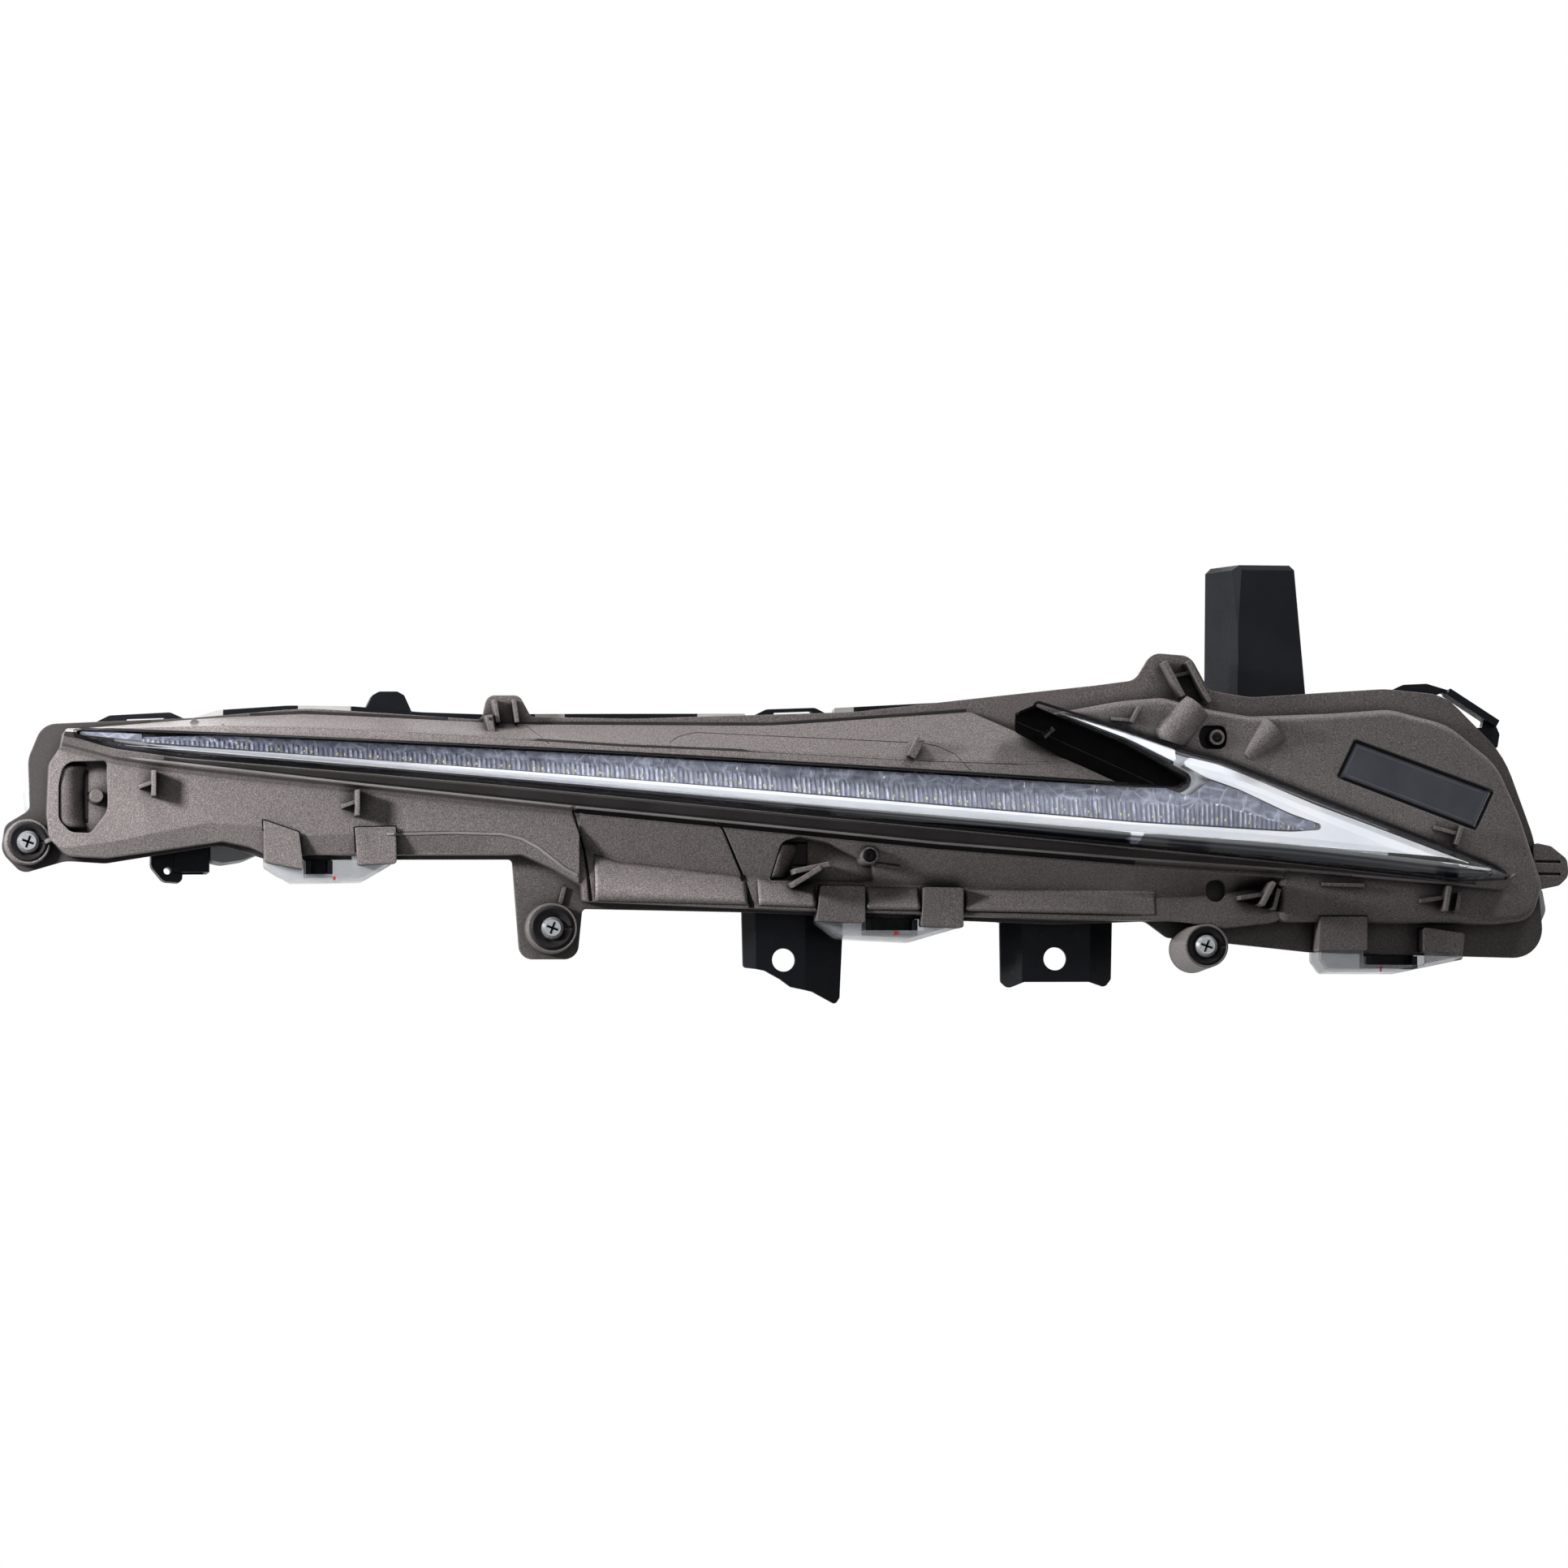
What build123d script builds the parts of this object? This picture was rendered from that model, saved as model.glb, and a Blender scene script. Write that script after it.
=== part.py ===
from build123d import *
import math
import os

os.makedirs("parts", exist_ok=True)

# ---- sizes in mm ----
BOW_RADIUS = 1800.0   # plan curve of the whole lamp
BOW_APEX_X = 109.0    # where the curve is nearest to the viewer
BRACKET_SETBACK = 8.0  # bracket plates behind the seat of the cover
WALL = 2.5            # moulded wall of cover, lens and housing
FLANGE = 2.5          # flange around the cover
PAD = 16.0            # front of the right hand pad above the seat
HOUSING_DEPTH = 34.0
GAP = 0.2             # play between pieces that only lie beside each other
SEAL = 1.2            # width of the black seal round the lens
LEDGE = 17.0          # height of the ledge that carries the lens
SCREW_D = 5.0
SCREW_HEAD_D = 9.4
SCREW_HEAD_H = 3.2
SCREW_SEAT = 2.4  # depth of the cup that takes a screw head
HOLE_D = 10.0         # hole in both lower brackets
BRACKET_T = 2.5

BOSSES = [(-324.3, 50.8, 10.0, 10.5), (-101.0, 12.9, 11.0, 11.5), (177.0, 4.9, 40.0, 10.2)]


# ---- helpers ----
def seat_y(x):
    """Depth of the seat surface, where cover and housing meet."""
    bow = BOW_RADIUS - math.sqrt(BOW_RADIUS ** 2 - (x - BOW_APEX_X) ** 2)
    bow0 = BOW_RADIUS - math.sqrt(BOW_RADIUS ** 2 - BOW_APEX_X ** 2)
    return bow - bow0 - BRACKET_SETBACK


def along(line, x):
    """Smooth value of a line of (x, value) points."""
    xs = [q[0] for q in line]
    vs = [q[1] for q in line]
    n = len(xs)
    slopes = []
    for i in range(n):
        a = max(i - 1, 0)
        b = min(i + 1, n - 1)
        slopes.append((vs[b] - vs[a]) / (xs[b] - xs[a]))
    if x <= xs[0]:
        return vs[0] + slopes[0] * (x - xs[0])
    if x >= xs[-1]:
        return vs[-1] + slopes[-1] * (x - xs[-1])
    i = max(k for k in range(n - 1) if xs[k] <= x)
    h = xs[i + 1] - xs[i]
    t = (x - xs[i]) / h
    a = vs[i] * (1 + 2 * t) * (1 - t) ** 2 + slopes[i] * h * t * (1 - t) ** 2
    return a + vs[i + 1] * t * t * (3 - 2 * t) + slopes[i + 1] * h * t * t * (t - 1)


def outline(points):
    """Closed face in the XZ plane from (x, z, corner radius) points."""
    corners = []
    count = len(points)
    for i, (x, z, r) in enumerate(points):
        p = Vector(x, 0, z)
        before = Vector(points[i - 1][0], 0, points[i - 1][1]) - p
        after = Vector(points[(i + 1) % count][0], 0, points[(i + 1) % count][1]) - p
        half = math.radians(before.get_angle(after)) / 2
        if r == 0 or half > 1.568:
            corners.append((p, None, p))
            continue
        reach = min(r / math.tan(half), 0.48 * before.length, 0.48 * after.length)
        r = reach * math.tan(half)
        bisector = (before.normalized() + after.normalized()).normalized()
        middle = p + bisector * (r / math.sin(half) - r)
        corners.append((p + before.normalized() * reach, middle, p + after.normalized() * reach))
    edges = []
    for i, (start, middle, end) in enumerate(corners):
        if middle is not None:
            edges.append(Edge.make_three_point_arc(start, middle, end))
        following = corners[(i + 1) % count][0]
        if (following - end).length > 1e-5:
            edges.append(Edge.make_line(end, following))
    return Face(Wire(edges))


def solid_of(shape):
    """The largest solid of a result."""
    return max(shape.solids(), key=lambda s: s.volume)


def prism(face, front=-120.0, back=150.0):
    """Outline face pushed through the whole depth of the lamp."""
    return Solid.extrude(face.moved(Location((0, front, 0))), Vector(0, back - front, 0))


def grown(points, amount):
    """Outline face made larger or smaller all round."""
    kind = Kind.ARC if amount < 0 else Kind.INTERSECTION
    return max(offset(outline(points), amount=amount, kind=kind).faces(), key=lambda f: f.area)


def band(low, high):
    """Everything between two heights above the seat surface."""
    xs = (-400.0, 0.0, 400.0)
    inner = [Vector(x, seat_y(x) - low, -60) for x in xs]
    outer = [Vector(x, seat_y(x) - high, -60) for x in xs]
    loop = Wire([
        Edge.make_three_point_arc(*inner),
        Edge.make_line(inner[2], outer[2]),
        Edge.make_three_point_arc(*reversed(outer)),
        Edge.make_line(outer[0], inner[0]),
    ])
    return Solid.extrude(Face(loop), Vector(0, 0, 260))


def behind(stations, profile, drop=0.0):
    """Everything behind a lofted skin; profile(x) gives (z, height) points."""
    wires = []
    for x in stations:
        pts = [Vector(x, seat_y(x) - h + drop, z) for z, h in profile(x)]
        far = [Vector(x, 160, pts[-1].Z), Vector(x, 160, pts[0].Z)]
        wires.append(Wire.make_polygon(pts + far, close=True))
    return Solid.make_loft(wires, ruled=True)


# ---- lines read along the length ----
RIM = [(-309, 99.8), (-281, 101.6), (-249, 104.0), (-206, 105.6), (-111, 101.2), (-7, 100.8),
       (76, 106.8)]
CREASE = [(-309, 98.0), (-228, 99.7), (-127, 94.8), (-26, 89.8), (52, 85.4), (111, 84.0), (150, 82.0)]
TOP = [(-309, 98.2), (-213, 94.9), (-72, 87.1), (51, 80.5), (148, 74.6), (200, 71.5)]
CREST = [(-307, 92.6), (-261, 89.1), (-127, 76.9), (17, 64.4), (149, 53.9), (217, 49.2), (306, 40.0)]
LOW = [(-307, 95.0), (-261, 87.1), (-127, 75.2), (17, 61.0), (148, 48.6), (220, 42.6), (314, 35.6)]
RIDGE = [(-311, 93.0), (-282, 85.5), (-182, 73.6), (-93, 64.0), (-9, 55.9), (63, 48.9),
         (149, 42.6), (221, 38.2), (312, 31.6)]

LENS = [(-306.8, 96.6, 1.0), (-302.0, 98.3, 3), (-72.4, 87.1, 600), (148.3, 74.7, 60),
        (168.0, 73.6, 5), (174.0, 77.6, 4), (145.1, 93.1, 60), (105.6, 109.0, 0.5),
        (107.3, 110.0, 0.5), (145.1, 98.7, 90), (172.0, 90.3, 60), (186.5, 86.6, 30),
        (227.9, 70.9, 200), (309.0, 41.6, 12), (315.6, 36.8, 1), (291.8, 35.6, 30),
        (219.5, 42.7, 300), (17.2, 61.0, 600), (-127.6, 75.2, 600), (-261.1, 87.1, 120),
        (-290.0, 91.4, 60)]

BODY = [(-309.5, 99.0, 3), (-281, 101.4, 30), (-249, 104.0, 60), (-206, 105.7, 90),
        (-111, 100.9, 200), (-6.8, 100.6, 200), (79.5, 107.0, 4), (100.1, 97.6, 12),
        (150, 77.0, 1), (190, 60, 0), (316, 37.5, 1), (313, 31.2, 2), (222, 38.2, 60),
        (215, 38.6, 1), (215, 17, 5), (190, 14, 6), (166, 16.8, 3), (117, 17.2, 60),
        (14, 20.2, 60), (-82.7, 24.2, 1), (-88.0, 24.4, 1), (-88.5, 31, 1), (-100, 38, 8),
        (-114, 44.4, 4), (-167, 44.4, 60), (-221.7, 44.4, 6), (-229.7, 48.0, 6),
        (-241.4, 50.6, 8), (-272.9, 46, 30), (-291, 43.6, 6), (-307.9, 44.6, 7),
        (-315.5, 52, 6), (-316.5, 62, 8), (-315.5, 84.5, 7), (-310.8, 91.5, 1)]

PADL = [(100, 103.6, 2), (123.3, 107.8, 60), (143.2, 111.6, 60), (162, 113.4, 20),
        (183.9, 108.3, 30), (200.7, 105.6, 30), (236.4, 107.3, 60), (263, 109.5, 25),
        (289.1, 103.2, 30), (311.0, 86.0, 30), (321.0, 64.4, 60), (331.5, 34.0, 9),
        (326.5, 18.6, 10), (310.4, 16.8, 10), (213.0, 17.0, 4), (213.0, 36.0, 1),
        (172, 50, 0), (153, 70, 0), (147, 79, 0)]

FLANGE_LINE = [(-318.2, 102.1, 9), (-324.2, 87.2, 12), (-323.4, 65.0, 4), (-334.0, 58.5, 5),
               (-335.6, 47.0, 8), (-326.5, 37.4, 6), (-307.9, 42.8, 14), (-290.9, 41.6, 12),
               (-241.4, 49.4, 20), (-221.7, 42.8, 16), (-117.6, 42.8, 2), (-114.2, -0.2, 6),
               (-89.6, -0.2, 6), (-87.5, 21.5, 2), (-19.6, 20.2, 30), (117, 15.4, 60),
               (156.1, 17.0, 5), (165.7, 10.0, 5), (190.8, 7.9, 6), (230.5, 4.0, 60),
               (335.0, 2.4, 13), (330.5, 54.0, 40), (316.7, 91.0, 45), (290.0, 117.0, 22),
               (263, 119.2, 40), (203.0, 114.7, 30), (184.6, 117.5, 4), (176.4, 132.4, 7),
               (159.4, 133.6, 7), (152.0, 121.6, 7), (134.2, 119.1, 30), (81.6, 113.0, 60),
               (28.7, 106.8, 60), (-65.7, 103.6, 90), (-109.6, 104.4, 3), (-114.6, 113.7, 4),
               (-128.4, 113.7, 4), (-130.6, 103.2, 3), (-206.0, 108.4, 120),
               (-254.1, 104.3, 40)]


# ---- skins ----
def upper_skin(x):
    """Light panels above the lens."""
    swing = max(0.0, min(1.0, (x - 82.0) / 64.0))
    top_z = along(TOP, x) + 0.2
    rim_z = max(along(RIM, min(x, 80)) + min(0, 80 - x) * 0.42, top_z + 1.6)
    rim_h = 4.5 + 15.5 * swing
    crease_z = max(min(along(CREASE, x), rim_z - 0.8), top_z + 0.6)
    return [(170, rim_h), (rim_z, rim_h), (crease_z, 20.0), (top_z, 22.0), (top_z - 4, 50), (-80, 50)]


def lower_skin(x, at_left):
    """Lip below the lens, the panel under it and the strip at the bottom."""
    if at_left:
        foot = along([(-330, 48.5), (-300, 48.5), (-257, 56.6), (-239, 58.6), (-208, 52.6), (-167, 54.2),
                      (-126, 53.4), (-98, 41.5), (-88, 34.6)], x)
        low_h, foot_h, end_h = 14.5, 15.0, 11.5
        end = foot - 9
    else:
        foot = along([(-87, 46.8), (-73, 42.2), (-25, 35.6), (14, 33.6), (76, 30.8), (116, 29.9),
                      (158, 26.5), (187, 28.7), (215, 33.5)], x)
        low_h, foot_h, end_h = 17.0, 8.0, 13.0
        end = foot - 12
    ridge = along(RIDGE, x)
    low_z = max(along(LOW, x), ridge + 1.5)
    foot = min(foot, ridge - 5)
    end = min(end, foot - 4)
    return [(170, 60), (low_z + 5, 60), (low_z, 24.0), (ridge, 20.0), (ridge - 1.0, 16.6),
            (ridge - 3.0, low_h), (foot, foot_h), (end, end_h), (-80, end_h)]


def lens_skin(x):
    """Front of the clear lens: slanted face, rolled crest and lower wall."""
    head = max(0.0, min(1.0, (x - 150.0) / 26.0))
    crest = along(CREST, x)
    low = min(along(LOW, x), crest - 1.2)
    top = along(TOP, x)
    crest_h = 28.5 + 2.5 * max(0.0, min(1.0, (x + 150) / 320))
    top_h = 22.3 + 8.0 * head
    rise_h = 27.0 + 3.5 * head
    mid = crest + (top - crest) * 0.12
    mid_h = crest_h - 0.1
    return [(170, rise_h), (top + 9, rise_h), (top, top_h), (mid + 1.0, mid_h), (crest, crest_h - 0.9),
            (low, 24.4), (low - 9, 10), (-80, 10)]


def head_bevel(x):
    """Slope along the upper right edge of the lens."""
    edge = along([(100, 111.6), (125, 104.6), (145, 98.8), (172, 90.0), (186.5, 86.4), (228, 70.9),
                  (260, 59.4), (309, 41.4), (330, 34.0)], max(x, 60))
    return [(170, 17.0), (edge, 17.0), (edge - 2.0, 24.5), (edge - 6.5, 29.5), (edge - 14, 32.0),
            (-80, 34)]


SPLIT_X = -90.0  # left and middle parts of the cover meet here
LEFT_RUN = [-345, -318, -306, -288, -270, -248, -228, -208, -182, -155, -130, -110, SPLIT_X]
RIGHT_RUN = [SPLIT_X, -72, -48, -20, 10, 40, 70, 100, 125, 150, 175, 200, 230, 260, 290, 318, 345]
UPPER_RUN = [-345, -318, -300, -270, -240, -210, -180, -150, -110, -70, -30, 10, 45, 81, 100, 122,
             146, 180, 215, 250, 285, 320, 345]
LENS_RUN = [-345, -307, -280, -250, -220, -190, -160, -130, -95, -60, -25, 10, 45, 80, 115, 149,
            162, 176, 200, 225, 250, 275, 300, 320, 345]
HEAD_RUN = [-345, -260, -200, -140, -80, -20, 40, 72, 100, 125, 145, 160, 172, 187, 205, 228, 250,
            275, 309, 345]


def left_of(x):
    """Everything on the left of a plane across the length."""
    return Solid.make_box(600, 600, 500).moved(Location((x - 600, -300, -150)))


def right_of(x):
    """Everything on the right of a plane across the length."""
    return Solid.make_box(600, 600, 500).moved(Location((x, -300, -150)))


def peg(x, z, low, high, r_low, r_high, dx=0.0, dz=0.0):
    """Round peg that stands out from the seat surface at (x, z)."""
    start = Vector(x, seat_y(x) - low, z)
    end = Vector(x + dx, seat_y(x) - high, z + dz)
    plane = Plane(start, z_dir=(end - start))
    if abs(r_low - r_high) < 1e-6:
        return Solid.make_cylinder(r_low, (end - start).length, plane)
    return Solid.make_cone(r_low, r_high, (end - start).length, plane)


def bar(points, low, high):
    """Upright form with the given outline between two heights."""
    return solid_of(prism(outline(points)) & band(low, high))


def block(x0, x1, z0, z1, low, high):
    """Block with square sides that follows the bow of the lamp."""
    return bar([(x0, z0, 0), (x1, z0, 0), (x1, z1, 0), (x0, z1, 0)], low, high)


# ---- front cover ----
def body_mass():
    """Massive body of the cover under its skins, in two lengths."""
    raw = solid_of(prism(outline(BODY)) & band(0, 60) & behind(UPPER_RUN, upper_skin))
    left = solid_of(raw & left_of(SPLIT_X) & behind(LEFT_RUN, lambda x: lower_skin(x, True)))
    right = solid_of(raw & right_of(SPLIT_X) & behind(RIGHT_RUN, lambda x: lower_skin(x, False)))
    return [left, right]


def set_back(shape, amount):
    """The same form moved away from the viewer."""
    return shape.moved(Location((0, amount, 0)))


def pad_mass():
    """Rounded pad at the right hand end."""
    raw = bar(PADL, 0, PAD)
    rim = [e for e in raw.edges() if abs((e @ 0.5).Y - (seat_y((e @ 0.5).X) - PAD)) < 0.05]
    return raw.fillet(3.0, rim)


# pockets sunk in the face: outline, height of the floor
POCKETS = [
    ([(-311.6, 75, 8), (-309.5, 85.0, 6), (-291.0, 85.4, 2), (-290.6, 63.5, 8), (-298.0, 54.0, 3),
      (-306.5, 54.5, 5), (-311.6, 60, 6)], 5.0),
    ([(-7.9, 33.6, 1), (-3.6, 50.0, 5), (4, 52.2, 5), (16.8, 49.6, 6), (36.5, 40.0, 4),
      (36.8, 33.4, 1)], 5.0),
    ([(177.6, 96.4, 5), (179.0, 101.4, 4.5), (189.2, 101.4, 4.5), (190.4, 96.4, 5), (189.2, 91.2, 4.5),
      (179.0, 91.2, 4.5)], 9.0),
    ([(180.6, 33.8, 3), (189.5, 35.5, 4), (191.0, 26.5, 4), (183.5, 24.6, 4)], 4.5),
]
# thin parting lines of the decorated panels
SEAMS = [
    [(-93.6, 65, 0), (-93.0, 65, 0), (-92.6, 62.9, 0), (-87.0, 46.6, 0), (-83.6, 22, 0), (-85.6, 22, 0),
     (-87.9, 46.6, 0), (-93.4, 62.9, 0)],
    [(-31.6, 58, 0), (-30.9, 58, 0), (-28.4, 55.2, 0), (-18.8, 35.8, 0), (-13.9, 19, 0), (-16.7, 19, 0),
     (-20.1, 35.7, 0), (-29.2, 55.0, 0)],
]
SEAM_DEPTH = 0.9
# guide pegs in the pockets: x, z, foot, tip, foot radius, tip radius
PEGS = [(-295.4, 70.2, 4, 14.2, 3.4, 2.8), (34.0, 44.0, 4, 19.0, 4.2, 3.6),
        (185.6, 96.2, 8, 17.6, 3.7, 3.3)]
# upright ribs and hooks: x, z, length, thickness, angle, foot, tip
RIBS = [
    (-271.6, 75.0, 11.0, 1.8, 90, 12, 25), (-274.8, 74.6, 6.0, 1.6, 20, 12, 21),
    (-185.2, 66.2, 11.0, 1.8, 90, 12, 25), (-188.6, 65.8, 6.5, 1.6, 20, 12, 21),
    (8.5, 38.4, 15.0, 2.2, 12, 4, 25), (6.0, 34.6, 14.0, 2.2, 32, 4, 27),
    (42.5, 39.6, 10.5, 1.4, -8, 10, 13.6),
    (202.5, 27.8, 15.0, 1.8, 8, 8, 21), (206.5, 28.4, 11.0, 2.0, 62, 8, 27),
    (210.5, 26.2, 9.0, 1.8, 75, 8, 24), (281.5, 27.0, 13.0, 1.8, 8, 12, 21),
    (286.5, 27.0, 11.0, 1.8, 80, 12, 26), (291.5, 25.6, 8.0, 1.8, 80, 12, 24),
    (288.0, 56.6, 13.0, 1.6, -14, 14, 19), (292.6, 54.6, 8.5, 1.8, 70, 14, 22),
    (144.0, 103.4, 10.0, 1.4, -4, 14, 18), (149.2, 105.4, 7.5, 1.6, 62, 14, 22),
    (241.2, 32.8, 19.0, 1.6, -1, 14, 18.6),
    (-125.2, 106.4, 10.0, 1.8, 98, 2, 12), (-117.0, 106.4, 10.0, 1.8, 98, 2, 12),
    (-128.0, 100.2, 8.5, 3.0, 100, 3, 15), (-253.2, 101.4, 4.6, 2.4, -38, 3, 12),
    (53.6, 90.2, 9.0, 3.6, 62, 16, 23),
    (167.2, 121.6, 17.0, 2.0, 118, 2, 15), (178.2, 120.4, 20.0, 2.0, 118, 2, 15),
    (172.8, 124.2, 10.5, 1.6, 14, 2, 9),
    (-313.0, 52.4, 9.0, 1.8, 24, 2, 13),
]
LUG_RIGHT = [(329, 53.0, 2), (337.3, 51.4, 4), (344.6, 45.8, 4), (345.4, 38.5, 5), (341.0, 34.2, 4),
             (330, 32.0, 2)]
TABS = [
    ([(-224.7, 59.2, 1), (-209.5, 53.9, 1), (-207.4, 37.8, 1), (-223.9, 41.3, 1)], 8.0, 17.2),
    ([(-185.7, 55.9, 1), (-168.4, 56.2, 1), (-168.0, 40.5, 1), (-184.3, 39.8, 1)], 8.0, 17.2),
    ([(13.4, 31.2, 1), (32.6, 31.0, 1), (32.6, 15.2, 1), (11.6, 15.9, 1)], 5.0, 14.6),
    ([(57.9, 30.7, 1), (75.1, 30.5, 1), (75.1, 13.3, 1), (56.8, 13.9, 1)], 5.0, 14.6),
    ([(231.0, 19.0, 1), (252.0, 19.2, 1), (251.9, 4.4, 1), (230.2, 4.4, 1)], 0.0, 17.6),
    ([(277.8, 15.0, 1), (296.4, 12.4, 1), (295.6, 4.0, 1), (277.7, 4.2, 1)], 0.0, 14.0),
]
WINDOW = [(246.8, 96.5, 1.5), (309.8, 74.7, 1.5), (301.3, 56.9, 1.5), (238.4, 79.4, 1.5)]
WINDOW_T = 1.0
WINDOW_BED = 0.7
# black trough between the two arms of the lens
TROUGH = [(97.2, 106.0, 1), (96.9, 97.6, 2), (119.3, 86.0, 60), (144.0, 74.6, 1), (166.2, 74.0, 4),
          (173.0, 77.8, 4), (145.3, 93.4, 60), (105.8, 109.6, 1)]


def rib(x, z, length, thick, angle, low, high):
    """Flat rib standing on the face, turned in the plane of the face."""
    c = math.cos(math.radians(angle))
    s = math.sin(math.radians(angle))
    half = length / 2
    t = thick / 2
    pts = [(-half, -t), (half, -t), (half, t), (-half, t)]
    return bar([(x + a * c - b * s, z + a * s + b * c, 0) for a, b in pts], low, high)


def rod(a, b, r_a, r_b):
    """Round or tapered rod between two (x, z, height) points."""
    start = Vector(a[0], seat_y(a[0]) - a[2], a[1])
    end = Vector(b[0], seat_y(b[0]) - b[2], b[1])
    plane = Plane(start, z_dir=(end - start))
    if abs(r_a - r_b) < 1e-6:
        return Solid.make_cylinder(r_a, (end - start).length, plane)
    return Solid.make_cone(r_a, r_b, (end - start).length, plane)


lens_wide = prism(grown(LENS, SEAL + 2.0))
lens_seat = prism(grown(LENS, SEAL))
lens_hole = prism(grown(LENS, -2.3))

# massive forms first
tabs = [bar(shape, low, high) for shape, low, high in TABS]
body = body_mass()
mass = bar(FLANGE_LINE, 0, FLANGE).fuse(*body, pad_mass(), *tabs)

# one hollow that leaves the lens ledge, the pockets and their walls standing
kept = [lens_wide & band(PAD - WALL, 60)]
cuts = []
for shape, floor in POCKETS:
    kept.append(prism(grown(shape, 2.0)) & band(floor - 2.2, 60))
    cuts.append(prism(outline(shape)) & band(floor, 60))
hollow_pad = solid_of(prism(grown(PADL, -WALL)) & band(-1, PAD - WALL))
hollow_body = [set_back(b, WALL + 0.3) & prism(grown(BODY, -WALL)) for b in body]
hollow = hollow_pad.fuse(*hollow_body).cut(*kept)
for shape in SEAMS:
    strip = prism(outline(shape)) & band(5, 30)
    cuts.append(strip.cut(*[set_back(b, SEAM_DEPTH) for b in body]))
cover = mass.cut(hollow, *cuts)

# pegs, ribs, hooks, swellings, the lug at the right and the screw bosses
swell = rod((177.0, 109.4, 12.5), (166.2, 97.6, 14.5), 7.0, 7.6)
swell = swell + Solid.make_sphere(7.6).moved(Location((166.2, seat_y(166.2) - 14.5, 97.6)))
swell = swell + rod((211.5, 100.6, 14.0), (199.0, 88.0, 13.6), 7.0, 3.0)
added = [swell & band(PAD - 1, 40), bar(LUG_RIGHT, 0, 6)]
for x, z, foot, tip, r_foot, r_tip in PEGS:
    added.append(peg(x, z, foot, tip, r_foot, r_tip))
for x, z, length, thick, angle, low, high in RIBS:
    added.append(rib(x, z, length, thick, angle, low, high))
for x, z, height, radius in BOSSES:
    added.append(peg(x, z, -3, height, radius, radius - 0.9) & band(0.5, 60))
cover = cover.fuse(*added)

# screw seats, lens opening above its ledge, trough beside the arm, window bed
cuts = [
    lens_seat & band(LEDGE, 60),
    lens_hole & band(5, 60),
    (prism(outline(TROUGH)) - lens_seat) & band(PAD, 60),
    prism(outline(WINDOW)) & band(PAD - WINDOW_BED - WINDOW_T, 60),
    prism(grown(WINDOW, -3.0)) & band(5, 60),
]
for x, z, height, radius in BOSSES:
    cuts.append(peg(x, z, height - SCREW_SEAT, height + 0.02, SCREW_HEAD_D / 2 + 0.6, radius - 1.6))
    cuts.append(peg(x, z, -2, height, SCREW_D / 2 + GAP, SCREW_D / 2 + GAP))
for z in (39.2, 44.6):
    cuts.append(block(330, 341.5, z - 0.6, z + 0.6, 4.4, 8) - pad_mass())
cover = solid_of(cover.cut(*cuts))
export_step(cover, "parts/front_cover.step")


# ---- lens, seal and the lit parts behind it ----
SILVER = [(-286.0, 92.6, 0.3), (-260.9, 89.4, 60), (-127.2, 77.2, 300), (17.7, 64.8, 300),
          (148.9, 54.2, 300), (217.1, 49.4, 200), (289.4, 44.6, 60), (303.0, 40.6, 1), (283.9, 47.2, 60), (254.2, 57.8, 100),
          (229.0, 66.6, 100), (193.7, 81.0, 40), (184.0, 84.4, 30), (172.5, 87.0, 2), (168.5, 84.0, 2),
          (179.0, 78.2, 8), (193.0, 73.5, 60), (216.0, 63.0, 60), (235.5, 56.6, 1.5), (217.1, 54.9, 60),
          (148.9, 58.4, 200), (17.7, 68.9, 300), (-127.2, 80.8, 300), (-260.9, 90.6, 100)]
OPTIC = [(-278.0, 92.8, 0.5), (-213.0, 87.4, 200), (17.7, 69.3, 300), (148.9, 58.8, 300),
         (217.1, 55.4, 100), (233.0, 56.9, 1.5), (216.0, 62.5, 60), (193.0, 73.0, 60), (181.0, 76.8, 3), (173.0, 70.6, 4),
         (148.3, 71.3, 100), (-72.4, 83.7, 600), (-278.0, 94.4, 0.5)]
ARM = [(109.2, 108.0, 0.2), (126.0, 102.0, 60), (145.6, 94.5, 60), (165.5, 84.6, 1), (166.2, 90.8, 1),
       (145.2, 97.9, 60), (125.2, 103.3, 60)]
LENS_GAP = 0.15
LENS_WALL = 2.2
LED_PITCH = 14.0
BOARD_FRONT = 11.5
BOARD_T = 1.6
RAIL_T = 2.0
FIN_PITCH = 26.0


massive_lens = solid_of(prism(outline(LENS)) & band(LEDGE, 60) & behind(LENS_RUN, lens_skin))
massive_lens = solid_of(massive_lens & behind(HEAD_RUN, head_bevel))
lens_room = set_back(massive_lens, LENS_WALL + 0.2) & prism(grown(LENS, -LENS_WALL))
arm_room = set_back(massive_lens, 1.5 - LENS_GAP) & prism(grown(ARM, LENS_GAP))
lens = solid_of(massive_lens.cut(lens_room, arm_room))
arm_trim = solid_of(set_back(massive_lens, 1.5) & prism(outline(ARM)) & band(LEDGE, 60))
export_step(lens, "parts/clear_lens.step")
export_step(arm_trim, "parts/arm_trim.step")

# the seal follows the panels at the left and stays low on the pad
ring = (prism(grown(LENS, SEAL)) - prism(outline(LENS))) & band(LEDGE, 60)
seal = [ring & left_of(146) & set_back(b, 0.3) for b in body]
seal = solid_of((ring & band(LEDGE, LEDGE + 0.8)).fuse(*seal))
export_step(seal, "parts/lens_seal.step")

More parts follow.
